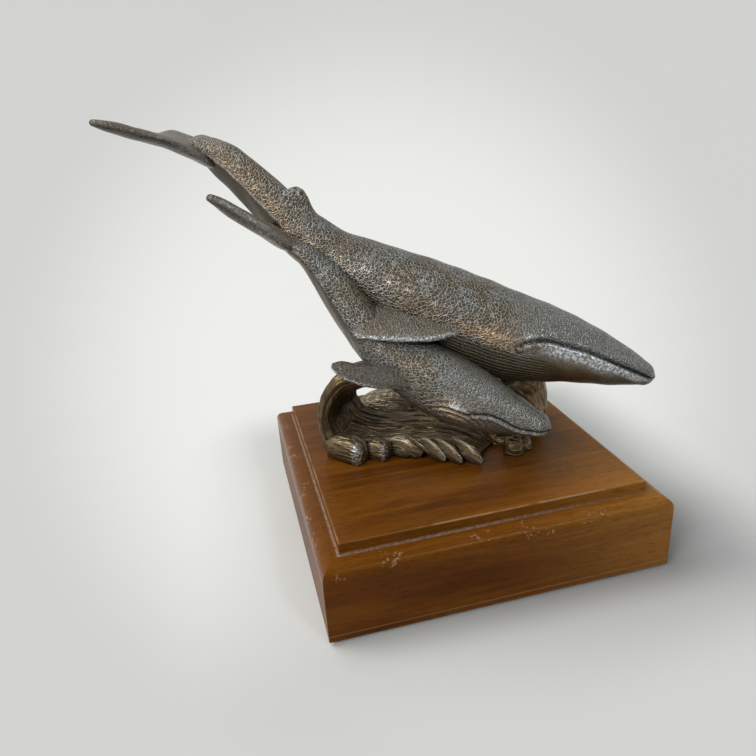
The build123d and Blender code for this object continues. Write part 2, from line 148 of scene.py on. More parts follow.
def through(keys, tables, want):
    """Cubic Hermite curve through tables, one for each key, read at every wanted key.

    Each inner table's slope is the spacing-weighted mean of the slopes on its two sides.
    """
    keys, tables, want = np.array(keys, float), np.array(tables, float), np.array(want, float)
    shape = (-1,) + (1,) * (tables.ndim - 1)
    steps = np.diff(keys).reshape(shape)
    slopes = np.diff(tables, axis=0) / steps
    inner = (slopes[:-1] * steps[1:] + slopes[1:] * steps[:-1]) / (steps[:-1] + steps[1:])
    tangents = np.concatenate([slopes[:1], inner, slopes[-1:]])
    index = np.clip(np.searchsorted(keys, want, side="right") - 1, 0, len(keys) - 2)
    gap = steps[index]
    t = (want - keys[index]).reshape(shape) / gap
    return (
        (2 * t**3 - 3 * t**2 + 1) * tables[index]
        + (t**3 - 2 * t**2 + t) * gap * tangents[index]
        + (3 * t**2 - 2 * t**3) * tables[index + 1]
        + (t**3 - t**2) * gap * tangents[index + 1]
    )


def smooth_rows(rows, count):
    """A smooth curve through rows, evenly stepped along the length of their first two columns."""
    rows = np.array(rows, float)
    steps = np.linalg.norm(np.diff(rows[:, :2], axis=0), axis=1)
    at = np.concatenate([[0.0], np.cumsum(steps)])
    return through(at, rows, np.linspace(0.0, at[-1], count))


def whole_turn(columns):
    """Evenly spaced angles once round a ring."""
    return np.linspace(0.0, 2 * math.pi, columns, endpoint=False)


def bump(distance, reach):
    """A soft bell: e to the minus square of distance over reach."""
    return np.exp(-((distance / reach) ** 2))


def ease(value, low, high):
    """A smooth step from 0 at low to 1 at high."""
    t = np.clip((value - low) / (high - low), 0.0, 1.0)
    return t * t * (3.0 - 2.0 * t)


def ripple(points, size, seed):
    """Soft hand-made unevenness: the mean of five sine waves in seeded directions."""
    dice = np.random.default_rng(seed)
    total = np.zeros(points.shape[:-1])
    for _ in range(5):
        way = dice.normal(size=3)
        way *= dice.uniform(0.6, 1.6) / (np.linalg.norm(way) * size)
        total += np.sin(points @ way * 2.0 * math.pi + dice.uniform(0, 2 * math.pi))
    return total / 5.0


def outward(points):
    """Unit normals of a ring grid: the cross product of its two difference directions."""
    around = np.roll(points, -1, axis=1) - np.roll(points, 1, axis=1)
    lengthwise = np.gradient(points, axis=0)
    normals = np.cross(around, lengthwise)
    size = np.linalg.norm(normals, axis=-1, keepdims=True)
    normals = normals / np.maximum(size, 1e-9)
    centre = points.mean(axis=1, keepdims=True)
    facing = np.sum(normals * (points - centre), axis=-1).mean()
    return normals if facing > 0 else -normals


def add_piece(name, points, faces, material, attributes=None):
    """A mesh object from points in millimetres, riding on the one body."""
    mesh = bpy.data.meshes.new(name)
    mesh.from_pydata((points * MM).tolist(), [], faces)
    mesh.validate()
    for label, values in (attributes or {}).items():
        colour = np.ones((len(points), 4), np.float32)
        colour[:, : values.shape[1]] = values
        layer = mesh.attributes.new(label, "FLOAT_COLOR", "POINT")
        layer.data.foreach_set("color", colour.ravel())
    mesh.polygons.foreach_set("use_smooth", np.ones(len(mesh.polygons), bool))
    mesh.materials.append(material)
    mesh.update()
    piece = bpy.data.objects.new(name, mesh)
    bpy.context.scene.collection.objects.link(piece)
    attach(piece, "root")
    return piece


def ring_faces(rows, columns, first=0, flip=False):
    """Quads between neighbouring rings, wrapped round, then a fan at each pole."""
    row, column = np.meshgrid(np.arange(rows - 1), np.arange(columns), indexing="ij")
    beside = (column + 1) % columns
    corners = np.stack(
        [
            row * columns + column,
            row * columns + beside,
            (row + 1) * columns + beside,
            (row + 1) * columns + column,
        ],
        axis=-1,
    ).reshape(-1, 4)
    ring = np.arange(columns)
    following = (ring + 1) % columns
    start_pole, end_pole = rows * columns, rows * columns + 1
    start = np.stack([following, ring, np.full(columns, start_pole)], axis=-1)
    last = (rows - 1) * columns
    end = np.stack([last + ring, last + following, np.full(columns, end_pole)], axis=-1)
    faces = [list(quad) for quad in (corners + first).tolist()]
    faces += [list(fan) for fan in (start + first).tolist()]
    faces += [list(fan) for fan in (end + first).tolist()]
    if flip:
        faces = [face[::-1] for face in faces]
    return faces


def tube_piece(name, points, material, attributes=None):
    """A closed piece from a grid of rings: its poles are the middles of the end rings."""
    rows, columns = points.shape[:2]
    poles = np.stack([points[0].mean(axis=0), points[-1].mean(axis=0)])
    flat = np.vstack([points.reshape(-1, 3), poles])
    around = points[rows // 2, 1] - points[rows // 2, 0]
    along = points[rows // 2 + 1, 0] - points[rows // 2, 0]
    away = points[rows // 2, 0] - points[rows // 2].mean(axis=0)
    flip = float(np.dot(np.cross(around, along), away)) < 0
    packed = {}
    for label, values in (attributes or {}).items():
        depth = values.shape[-1]
        ends = np.stack([values[0].mean(axis=0), values[-1].mean(axis=0)])
        packed[label] = np.vstack([values.reshape(-1, depth), ends])
    return add_piece(name, flat, ring_faces(rows, columns, flip=flip), material, packed)


def zip_piece(name, points, material, attributes=None):
    """A closed piece from a grid of rings whose first half lies opposite its second half.

    The end rings are capped by quads between each point and the one across from it.
    """
    rows, columns = points.shape[:2]
    faces = ring_faces(rows, columns)[: (rows - 1) * columns]
    half = np.arange(columns // 2 - 1)
    across = columns - 1 - half
    cap = np.stack([half, half + 1, across - 1, across], axis=-1)
    far = (rows - 1) * columns
    faces += cap.tolist()
    faces += (cap[:, ::-1] + far).tolist()
    mesh_points = points.reshape(-1, 3)
    volume = signed_volume(mesh_points, faces)
    if volume < 0:
        faces = [face[::-1] for face in faces]
    packed = {
        label: values.reshape(-1, values.shape[-1])
        for label, values in (attributes or {}).items()
    }
    return add_piece(name, mesh_points, faces, material, packed)


def signed_volume(points, faces):
    """Sum of the tetrahedra that each triangle makes with the origin: above 0 faces outward."""
    quads = np.array([face if len(face) == 4 else face + face[-1:] for face in faces])
    a, b, c, d = (points[quads[:, k]] for k in range(4))
    first = np.einsum("ij,ij->i", a, np.cross(b, c)).sum()
    second = np.einsum("ij,ij->i", a, np.cross(c, d)).sum()
    return (first + second) / 6.0


# Whales: stations from snout to tail in millimetres (along, height, half width, back above the
# spine, belly below it, roundness of the belly), then lines and places on their skin
MOTHER = Heading(0.0, 10.0, 30.0, 104.2)
CALF = Heading(0.8, -19.0, 36.0, 71.7)

MOTHER_STATIONS = [
    (96.0, 71.7, 0.6, 0.6, 0.6, 0.55),
    (94.5, 72.2, 4.0, 3.0, 3.0, 0.55),
    (90.0, 73.7, 7.0, 5.5, 5.0, 0.55),
    (80.0, 77.2, 11.0, 8.8, 9.5, 0.55),
    (66.7, 81.7, 15.0, 12.2, 13.3, 0.55),
    (50.0, 86.7, 18.5, 15.3, 17.5, 0.55),
    (30.0, 92.7, 20.5, 17.0, 19.7, 0.55),
    (8.0, 100.7, 20.5, 17.9, 19.5, 0.55),
    (-12.0, 108.7, 18.5, 17.0, 17.5, 0.52),
    (-30.0, 116.5, 16.0, 15.0, 15.0, 0.48),
    (-46.0, 124.2, 13.0, 13.0, 13.0, 0.42),
    (-60.0, 134.8, 10.5, 11.5, 12.0, 0.26),
    (-73.0, 147.7, 8.5, 10.5, 10.5, 0.14),
    (-84.0, 158.7, 7.2, 9.5, 9.3, 0.12),
    (-93.0, 167.2, 7.0, 8.4, 9.0, 0.14),
    (-100.0, 172.3, 8.6, 6.2, 7.2, 0.20),
    (-107.0, 175.2, 11.0, 3.6, 4.6, 0.30),
    (-113.5, 176.2, 12.5, 1.6, 2.4, 0.45),
]
CALF_STATIONS = [
    (39.5, 58.5, 0.5, 0.5, 0.6, 0.55),
    (37.7, 58.8, 3.6, 3.0, 3.0, 0.58),
    (31.5, 60.4, 6.4, 5.7, 6.0, 0.62),
    (22.0, 63.7, 9.4, 8.3, 9.8, 0.62),
    (11.0, 67.7, 12.2, 11.2, 13.0, 0.62),
    (-1.0, 72.0, 14.0, 13.6, 15.2, 0.60),
    (-13.0, 77.2, 14.5, 14.0, 14.8, 0.57),
    (-25.0, 83.2, 13.5, 12.8, 12.5, 0.52),
    (-36.5, 91.4, 12.0, 10.5, 10.8, 0.46),
    (-46.0, 101.4, 10.0, 10.0, 9.5, 0.28),
    (-53.5, 111.2, 8.0, 9.3, 8.5, 0.16),
    (-60.0, 120.2, 6.6, 7.4, 7.0, 0.16),
    (-66.0, 127.2, 5.8, 5.3, 5.5, 0.20),
    (-73.0, 132.7, 5.4, 3.2, 3.8, 0.35),
    (-79.0, 136.6, 5.4, 1.4, 1.8, 0.50),
]
MOTHER_MOUTH = [
    (39.9, 90.6), (42.0, 92.2), (46.2, 93.0), (51.5, 92.9), (56.3, 91.5), (68.5, 87.2),
    (78.8, 81.9), (88.2, 76.8), (94.5, 73.0), (100.8, 70.2),
]
CALF_MOUTH = [
    (6.5, 66.8), (9.5, 67.1), (12.6, 67.0), (16.3, 66.5), (20.4, 64.6), (24.5, 61.6),
    (28.6, 59.6), (32.6, 58.7), (37.2, 58.0), (42.0, 57.4),
]
MOTHER_EYE = (40.0, 89.6)
MOTHER_MOUTH_CORNER = (44.0, 94.2)
COPPER_PATCH = (27.0, 95.6)
CALF_EYE = (3.4, 70.2)

# Blades: middle of each section from near tip to far tip, or root to tip, in millimetres from
# the root (side, along, rise), then half the chord and half the thickness
MOTHER_FLUKES = [
    (45.3, -16.4, 12.9, 2.4, 1.3),
    (41.0, -14.5, 11.6, 5.1, 2.0),
    (31.0, -9.5, 7.8, 8.2, 2.4),
    (19.0, -4.5, 4.0, 10.6, 2.6),
    (9.0, -1.0, 1.2, 12.0, 2.9),
    (0.0, 0.0, -0.4, 12.0, 3.0),
    (-9.0, -1.2, -1.2, 11.4, 3.2),
    (-19.0, -5.0, -1.9, 9.6, 2.7),
    (-30.0, -11.0, -0.8, 7.4, 2.3),
    (-39.0, -17.0, 1.2, 4.8, 1.8),
    (-43.5, -19.6, 2.0, 2.0, 1.1),
]
CALF_FLUKES = [
    (29.0, -11.6, 20.1, 1.8, 1.4),
    (25.9, -10.1, 17.8, 4.0, 2.2),
    (18.6, -6.4, 11.6, 6.8, 2.8),
    (9.3, -2.0, 4.9, 8.6, 3.2),
    (0.0, 0.0, -0.4, 9.0, 3.3),
    (-9.3, -2.0, -3.4, 8.4, 2.7),
    (-18.6, -6.4, -7.6, 6.4, 2.0),
    (-25.9, -10.1, -11.4, 3.9, 1.4),
    (-29.0, -11.6, -13.0, 1.7, 0.8),
]
MOTHER_FLUKE_ROOT = (-109.0, 175.2)
CALF_FLUKE_ROOT = (-81.0, 137.9)
# Stations along a flipper: share of its length, leading and trailing reach, half thickness
FREE_FLIPPER = [
    (0.00, 6.0, 6.0, 2.0), (0.25, 7.0, 7.0, 1.9), (0.50, 6.4, 6.4, 1.6), (0.75, 4.9, 4.9, 1.2),
    (0.93, 2.6, 2.6, 0.9), (1.00, 0.9, 0.9, 0.6),
]
SHOULDER_FLIPPER = [
    (0.00, 3.2, 17.0, 2.6), (0.18, 6.0, 18.0, 2.6), (0.40, 7.0, 17.0, 2.5), (0.65, 6.4, 16.0, 2.3),
    (0.85, 5.2, 14.0, 2.0), (0.96, 4.0, 12.5, 1.7), (1.00, 2.6, 11.0, 1.2),
]
CALF_FLIPPER = [
    (0.00, 1.0, 11.0, 2.2), (0.25, 2.6, 8.0, 2.1), (0.50, 4.8, 5.0, 1.9), (0.75, 4.8, 3.6, 1.6),
    (0.93, 3.2, 2.6, 1.2), (1.00, 1.4, 1.2, 0.8),
]
# Root and tip (along, height, side), lean of the chord, length, stations
FLIPPERS = {
    "mother_near_flipper": (MOTHER, (13.7, 97.5, 17.9), (-27.9, 100.0, 31.5),
                            (0.15, -0.45, 0.85), 44.0, SHOULDER_FLIPPER),
    "mother_far_flipper": (MOTHER, (13.7, 94.8, -16.8), (-18.9, 87.4, -39.9),
                           (0.60, -0.60, -0.30), 44.0, FREE_FLIPPER),
    "calf_near_flipper": (CALF, (-15.0, 75.3, 10.2), (-42.0, 91.5, 31.8),
                          (0.30, -0.85, 0.40), 40.0, CALF_FLIPPER),
    "calf_far_flipper": (CALF, (-15.0, 74.1, -10.2), (-39.6, 84.9, -28.8),
                         (0.50, -0.75, -0.40), 40.0, FREE_FLIPPER),
}
# How much fuller a blade is towards its leading edge
FULLER_LEAD = 0.22
# The back fin's hump: way along the back from its front foot, and height over the back
HUMP = ((0.0, 0.0), (3.3, 1.3), (8.3, 3.7), (12.3, 4.8), (15.3, 4.1), (16.9, 2.2), (17.8, 0.0))


def body_rings(stations, heading, rows, columns):
    """Rings square to the spine: half an ellipse for the back, two Bezier quarters below.

    Gives the points, their places along the spine, beside it and above it, and their along
    and rise in the whale's heading.
    """
    spine = smooth_rows(stations, rows)
    along, rise, width, back, belly, roundness = (column[:, None] for column in spine.T)
    tangent = np.gradient(spine[:, :2], axis=0)
    tangent /= np.linalg.norm(tangent, axis=1, keepdims=True)
    angle = whole_turn(columns)[None, :]
    quarter = np.where(angle < 1.5 * math.pi, angle - math.pi, 2 * math.pi - angle)
    t = np.clip(quarter / (0.5 * math.pi), 0.0, 1.0)
    keel_side = 3 * (1 - t) * t**2 * roundness + 3 * (1 - t) ** 2 * t + (1 - t) ** 3
    keel_drop = 3 * (1 - t) ** 2 * t * roundness + 3 * (1 - t) * t**2 + t**3
    lower = angle > math.pi
    hand = np.where(angle < 1.5 * math.pi, -1.0, 1.0)
    side = np.where(lower, hand * width * keel_side, width * np.cos(angle))
    above = np.where(lower, -belly * keel_drop, back * np.sin(angle))
    at_along = along + above * tangent[:, 1:2]
    at_rise = rise - above * tangent[:, 0:1]
    length = np.concatenate(
        [[0.0], np.cumsum(np.linalg.norm(np.diff(spine[:, :2], axis=0), axis=1))]
    )[:, None]
    points = heading.place(at_along, at_rise, side)
    flow = np.stack(np.broadcast_arrays(length, side, above), axis=-1)
    return points, flow, at_along, at_rise


def line_distance(along, rise, line):
    """Distance from each place to the nearest piece of a polyline, above 0 over it."""
    line = np.array(line, float)
    start, end = line[:-1], line[1:]
    way = end - start
    size = np.linalg.norm(way, axis=1)
    place = np.stack([along, rise], axis=-1)[..., None, :]
    reach = np.clip(((place - start) * way).sum(-1) / size**2, 0.0, 1.0)
    nearest = start + reach[..., None] * way
    apart = np.linalg.norm(place - nearest, axis=-1)
    cross = way[:, 0] * (place[..., 1] - start[:, 1]) - way[:, 1] * (place[..., 0] - start[:, 0])
    best = apart.argmin(axis=-1)[..., None]
    distance = np.take_along_axis(apart, best, -1)[..., 0]
    sign = np.sign(np.take_along_axis(cross, best, -1)[..., 0])
    return distance * np.where(sign == 0, 1.0, sign)


def blade_rings(centres, chord_way, lead, trail, half_thick, columns):
    """Sections square to a blade's run: half an ellipse to the lead and half to the trail.

    The thickness is a little fuller towards the lead, by the cosine of the ring's angle.
    """
    run = np.gradient(centres, axis=0)
    run /= np.linalg.norm(run, axis=1, keepdims=True)
    chord = chord_way - run * np.sum(run * chord_way, axis=1, keepdims=True)
    chord /= np.linalg.norm(chord, axis=1, keepdims=True)
    thick = np.cross(run, chord)
    angle = whole_turn(columns)
    cosine = np.cos(angle)[None, :]
    fore = cosine * np.where(cosine > 0.0, lead[:, None], trail[:, None])
    height = np.sin(angle) * (1.0 + FULLER_LEAD * np.cos(angle)) * half_thick[:, None]
    points = (
        centres[:, None] + fore[..., None] * chord[:, None] + height[..., None] * thick[:, None]
    )
    return points, fore, height


# Wave: outlines square to the mother's heading (along, height over the tier), from the foot up
# the outside of the curl to its tip, down the hollow, then along the trough
CURL_SIDES = (3.0, 12.0, 22.0, 32.0)
CURL_OUTSIDE = (
    [(-43.0, 0), (-46.0, 10), (-46.0, 20), (-42.0, 29), (-35.0, 35), (-28.0, 36.5), (-21, 35)],
    [(-45.5, 0), (-48.5, 10), (-48.5, 21), (-44.0, 31.5), (-36, 38), (-26, 39.5), (-15, 37)],
    [(-46.0, 0), (-48.5, 10), (-48.5, 22), (-44.5, 32.5), (-36.5, 39), (-26, 40.5), (-14, 38.5)],
    [(-45.5, 0), (-48, 10), (-48, 23), (-44, 33), (-38.5, 39.5), (-33, 41.6), (-27, 42)],
)
CURL_HOLLOW = (
    [(-21, 29.5), (-29, 28.5), (-36, 25), (-39, 18.5), (-35.5, 12)],
    [(-15, 31), (-26, 31), (-36, 26.5), (-41, 17.5), (-37.5, 10.5)],
    [(-14, 32), (-25, 31.5), (-36, 27), (-41.5, 17.5), (-38.5, 8.5)],
    [(-26.5, 36), (-34, 32.5), (-40, 26), (-43, 16), (-40.5, 7)],
)
TROUGH = (
    [(-35.5, 12), (-25, 9.7), (-8, 10.5), (14, 9), (31, 2)],
    [(-37.5, 10.5), (-27, 8.5), (-8, 10), (13, 8.5), (28, 2)],
    [(-38.5, 8.5), (-28, 6), (-8, 8), (12, 7.5), (24, 2)],
    [(-40.5, 7), (-30, 7), (-8, 8.3), (12, 7.2), (23, 1.8)],
)
CREST_SIDES = (-25.0, -18.0, -9.0, 0.0)
CREST_OUTSIDE = (
    [(44, 0), (46.5, 7), (46, 14), (44, 19), (40, 22.5)],
    [(46, 0), (50, 12), (48.5, 22), (44, 31), (38, 36)],
    [(47.5, 0), (51, 12), (50, 20), (46, 27), (40, 36)],
    [(45.5, 0), (48.5, 8), (47, 14), (44, 18), (40, 21)],
)
CREST_INSIDE = (
    [(34.5, 22), (35, 17), (37, 11), (33, 5), (27, 0)],
    [(29, 35), (31, 27), (36, 17), (33, 7), (26, 0)],
    [(26, 36), (29, 29), (38, 18), (35, 8), (26, 0)],
    [(32, 22), (33, 18), (37, 12), (33, 5), (27, 0)],
)
# Swells and foam: name, along, side, turn in degrees, half length, half width, height
MOUNDS = [
    ("rear_swell", -25, -12, 0, 20, 11, 14.5),
    ("far_swell", 6, -10, 0, 28, 12, 9),
    ("foam_block", -35.0, 33.8, 22, 9.8, 5.0, 11.0),
    ("foam_front", -29.5, 37.6, 30, 3.4, 2.6, 5.0),
    ("foam_right", -20.8, 30.8, 15, 5.0, 4.2, 9.0),
    ("chin_lobe", 38, 17, 0, 4.8, 4.0, 8.0),
    ("chin_drop", 42, 12, 10, 4.0, 3.2, 5.0),
    ("inner_lobe", 33, 2, 0, 12.0, 10.0, 7.0),
]
# Squareness, flatness, copper and shine of each kind of mound, by the name's first word; the
# shine is a painted highlight at one end
MOUND_KINDS = {
    "rear": (2.0, 0.8, 0.9, 0.05), "far": (2.0, 0.8, 0.1, 0.0), "foam": (5.0, 0.28, 0.40, 0.6),
    "chin": (2.4, 0.6, 0.0, 0.15), "inner": (2.0, 0.8, 0.0, 0.0),
}
# Tongues of water down the trough's front: upper end, lower end (along, height over the tier,
# side), half width, half thickness
TONGUES = [
    ((-19.0, 4.6, 27.0), (-1.0, 2.6, 29.8), 5.2, 1.2),
    ((-12.0, 9.2, 25.0), (5.5, 0.9, 31.0), 1.3, 1.3),
    ((-4.0, 7.2, 25.4), (9.5, 1.0, 31.8), 3.6, 1.2),
    ((2.5, 7.2, 25.2), (17.0, 0.9, 32.0), 3.6, 1.3),
    ((10.5, 7.0, 24.0), (25.5, 0.8, 31.0), 4.2, 1.3),
]
# Rings of a wave wall: their spacing in millimetres, and the number of rings and the first turn
# in radians of each rounded end
RING_STEP = 0.28
END_RINGS = 8
END_TURN = 1.45


def wall_rings(sides, outside, inside, floor, wall_steps, floor_steps, rounding):
    """Rings of a hollow wave: outside, then inside, of each outline, lofted along the side axis.

    The ring starts at the middle of the tip. Its first half runs down the outside and under
    the floor, and its second half comes back along the floor and up the hollow, so that each
    place lies opposite its own partner. The end rings draw in to the middle line by the cosine
    of a quarter turn while they move out by its sine, which rounds both ends.
    """
    rings = []
    for index in range(len(sides)):
        out = smooth_rows(outside[index][::-1], wall_steps)
        hollow = smooth_rows(inside[index], wall_steps)
        tip = 0.5 * (out[0] + hollow[0])
        lead = out[0] - out[3]
        lead = lead / np.linalg.norm(lead) * 0.35 * np.linalg.norm(out[0] - hollow[0])
        out_arc = [tip + lead, 0.5 * (tip + lead * 1.3 + out[0])]
        in_arc = [tip + lead * 1.02, 0.5 * (tip + lead * 1.3 + hollow[0])]
        if floor is None:
            first = np.vstack([out_arc, out])
            second = np.vstack([in_arc, hollow])
        else:
            base = smooth_rows(floor[index], floor_steps)[1:]
            end = base[-1, 0]
            under = np.stack(
                [np.linspace(out[-1, 0], end, floor_steps)[1:], np.zeros(floor_steps - 1)], 1
            )
            first = np.vstack([out_arc, out, under])
            second = np.vstack([in_arc, hollow, base])
        rings.append(np.vstack([first, second[::-1]]))
    low, high = sides[0], sides[-1]
    middle = np.linspace(low, high, int((high - low) / RING_STEP))
    turn = np.linspace(END_TURN, 0.0, END_RINGS + 1)[:-1]
    want = np.concatenate([np.full(END_RINGS, low), middle, np.full(END_RINGS, high)])
    push = np.concatenate([-np.sin(turn), np.zeros(len(middle)), np.sin(turn[::-1])]) * rounding
    draw = np.concatenate([np.cos(turn), np.ones(len(middle)), np.cos(turn[::-1])])
    table = through(sides, rings, want)
    partner = 0.5 * (table + table[:, ::-1])
    shaped = partner + (table - partner) * draw[:, None, None]
    return shaped, want + push


def mound_rings(half_length, half_width, height, rows, columns, square, flat):
    """Rings of a low mound from its top to its foot.

    Each ring is a superellipse with square as its exponent. The height follows the cosine,
    raised to flat, of the same quarter turn whose sine sets the ring's size.
    """
    turn = np.linspace(0.06, 0.5 * math.pi, rows)[:, None]
    angle = whole_turn(columns)[None, :]
    cosine, sine = np.cos(angle), np.sin(angle)
    grow = (np.abs(cosine) ** square + np.abs(sine) ** square) ** (-1.0 / square)
    size = np.sin(turn)
    x = half_length * size * grow * cosine
    y = half_width * size * grow * sine
    z = height * np.broadcast_to(np.clip(np.cos(turn), 0.0, 1.0) ** flat, x.shape)
    return x, y, z


def node(tree, kind, inputs=None, **settings):
    """One shader node with its settings, and its inputs given as numbers or linked sockets."""
    made = tree.nodes.new(kind)
    for name, value in settings.items():
        setattr(made, name, value)
    for key, value in (inputs or {}).items():
        socket = made.inputs[key]
        if isinstance(value, bpy.types.NodeSocket):
            tree.links.new(value, socket)
        else:
            socket.default_value = value
    return made


def new_material(name):
    """An empty material and its node tree."""
    material = bpy.data.materials.new(name)
    material.use_nodes = True
    material.node_tree.nodes.clear()
    return material, material.node_tree


def coat(tree, inputs):
    """The Principled shader with these inputs, wired to the material's output."""
    shader = node(tree, "ShaderNodeBsdfPrincipled", inputs)
    node(tree, "ShaderNodeOutputMaterial", {"Surface": shader.outputs["BSDF"]})


def mix(tree, amount, first, second, blend="MIX"):
    """Two colours blended by an amount, each given as numbers or as a linked socket."""
    made = node(tree, "ShaderNodeMix", data_type="RGBA", blend_type=blend)
    for socket, value in zip((made.inputs[0], made.inputs[6], made.inputs[7]),
                             (amount, first, second)):
        if isinstance(value, bpy.types.NodeSocket):
            tree.links.new(value, socket)
        elif socket.type == "RGBA" and len(value) == 3:
            socket.default_value = (*value, 1.0)
        else:
            socket.default_value = value
    return made.outputs[2]


def sums(tree, operation, first, second=0.0, third=0.0):
    """One step of arithmetic on values or sockets."""
    made = node(tree, "ShaderNodeMath", {0: first, 1: second, 2: third}, operation=operation)
    return made.outputs[0]


def product(tree, *factors):
    """All the factors multiplied, from the first to the last."""
    total = factors[0]
    for factor in factors[1:]:
        total = sums(tree, "MULTIPLY", total, factor)
    return total


def vectors(tree, operation, *given):
    """One step of arithmetic on vectors or sockets, as the outputs of its node."""
    made = node(tree, "ShaderNodeVectorMath", dict(enumerate(given)), operation=operation)
    return made.outputs


def grey(tree, colour):
    """The first channel of a colour, as a plain value."""
    return node(tree, "ShaderNodeSeparateColor", {"Color": colour}).outputs["Red"]


def remap(tree, value, low, high, new_low=0.0, new_high=1.0):
    """A clamped smooth step of a value from one range to another."""
    return node(
        tree, "ShaderNodeMapRange",
        {"Value": value, "From Min": low, "From Max": high, "To Min": new_low,
         "To Max": new_high},
        interpolation_type="SMOOTHSTEP",
    ).outputs["Result"]


def noise(tree, place, scale, detail, **more):
    """Fractal noise at a place, as a value round a half."""
    inputs = {"Vector": place, "Scale": scale, "Detail": detail, **more}
    return node(tree, "ShaderNodeTexNoise", inputs).outputs["Fac"]


def stretched(tree, place, scale, turn=(0.0, 0.0, 0.0)):
    """A place scaled along each axis and then turned, for a pattern that is longer one way."""
    return node(
        tree, "ShaderNodeMapping", {"Vector": place, "Rotation": turn, "Scale": scale}
    ).outputs["Vector"]


def painted(tree, name):
    """The red, green and blue of a piece's own colour attribute, as plain values."""
    colour = node(tree, "ShaderNodeAttribute", attribute_name=name).outputs["Color"]
    channels = node(tree, "ShaderNodeSeparateColor", {"Color": colour}).outputs
    return channels["Red"], channels["Green"], channels["Blue"]


def seen_rays(tree):
    """1 for camera, glossy and transmission rays, which all meet the same pale background."""
    rays = node(tree, "ShaderNodeLightPath").outputs
    seen = sums(tree, "MAXIMUM", rays["Is Camera Ray"], rays["Is Glossy Ray"])
    return sums(tree, "MAXIMUM", seen, rays["Is Transmission Ray"])


def bronze(name, look, pebble, fine_pebble, elongation, water=False):
    """Patinated bronze with a net of worn ridges round dark dimples.

    The dimples are cells of a Voronoi pattern in the skin's own places, longer along the body,
    and the net is the distance to a cell's edge. The tone attribute holds copper, fineness and
    smoothness. The marks attribute holds dark grooves with painted shade under bellies, tails,
    flukes and in the wave's hollow, rubbed edges with painted glints and highlights, which
    glitter by fine noise, and the throat, whose pleats are the cosine of the angle round the
    spine.
    """
    material, tree = new_material(name)
    flow = node(tree, "ShaderNodeAttribute", attribute_name="flow").outputs["Vector"]
    copper, fine, smooth = painted(tree, "tone")
    dark, light, throat = painted(tree, "marks")
    wander = node(tree, "ShaderNodeTexNoise", {"Vector": flow, "Scale": 260.0, "Detail": 2.0})
    shifted = vectors(tree, "MULTIPLY_ADD", wander.outputs["Color"], DIMPLE_WANDER, flow)
    place = stretched(tree, shifted["Vector"], (1.0 / elongation, 1.0, 1.0))
    nets = []
    for size in (pebble, fine_pebble):
        cell = node(
            tree, "ShaderNodeTexVoronoi",
            {"Vector": place, "Scale": 1.0 / size, "Randomness": 0.9},
            feature="DISTANCE_TO_EDGE",
        )
        nets.append(remap(tree, cell.outputs["Distance"], 0.24, 0.02))
    net = grey(tree, mix(tree, fine, nets[0], nets[1]))
    blotch = noise(tree, flow, 70.0, 5.0)
    grit = noise(tree, flow, 1500.0, 3.0)
    glitter = noise(tree, flow, 900.0, 1.0)
    # Colour: worn metal, dark dimples, smooth places, dark grooves and painted shade, then rubbed
    # edges and painted glints
    low, high, lit, pits = (
        (look.wave_dark, look.wave_patina, look.wave_gold, look.wave_pits) if water
        else (look.patina, look.grey, look.copper, look.pits)
    )
    upper = sums(tree, "MAXIMUM", remap(tree, blotch, 0.35, 0.65), fine)
    worn = mix(tree, copper, mix(tree, upper, low, high), lit)
    contrast = sums(tree, "MULTIPLY_ADD", fine, -0.30, 0.45 if water else 0.95)
    contrast = product(tree, contrast, sums(tree, "MULTIPLY_ADD", copper, -0.25, 1.0))
    depth = product(tree, sums(tree, "SUBTRACT", 1.0, net), contrast)
    pitted = mix(tree, depth, worn, pits)
    if not water:
        pitted = mix(tree, smooth, pitted, look.smooth_brown)
    part = node(tree, "ShaderNodeSeparateXYZ", {"Vector": flow}).outputs
    round_way = sums(tree, "ARCTAN2", part["Z"], sums(tree, "ABSOLUTE", part["Y"]))
    pleat = sums(tree, "COSINE", product(tree, round_way, PLEAT_RATE))
    pleat = product(tree, remap(tree, pleat, 0.0, 1.0), throat)
    creased = mix(tree, sums(tree, "MAXIMUM", dark, product(tree, pleat, 0.45)),
                  pitted, look.crease_and_shade)
    # Painted glints: the light mark, broken up by fine noise into sparkles
    light = product(tree, light, remap(tree, glitter, 0.43, 0.60, 0.25, 1.0))
    finished = mix(tree, light, creased, look.bright)
    speckle = remap(tree, grit, 0.30, 0.70, 0.75, 1.25)
    speckled = mix(tree, 1.0, finished, speckle, blend="MULTIPLY")
    # Gloss, then relief in metres
    shine = grey(tree, mix(tree, light, sums(tree, "MULTIPLY_ADD", net, -0.12, 0.37),
                           (0.22, 0.22, 0.22)))
    rough = sums(tree, "ADD", shine, product(tree, grit, 0.10))
    relief = product(tree, net, sums(tree, "SUBTRACT", 1.0, smooth), 0.20 * pebble)
    relief = sums(tree, "ADD", relief, product(tree, grit, 0.00007))
    relief = sums(tree, "SUBTRACT", relief, product(tree, pleat, PLEAT_DEPTH))
    raised = node(
        tree, "ShaderNodeBump", {"Height": relief, "Strength": 1.0, "Distance": 1.0}
    ).outputs["Normal"]
    coat(tree, {"Base Color": speckled, "Metallic": 0.7, "Roughness": rough,
                "Normal": raised, "Specular IOR Level": 0.5})
    return material


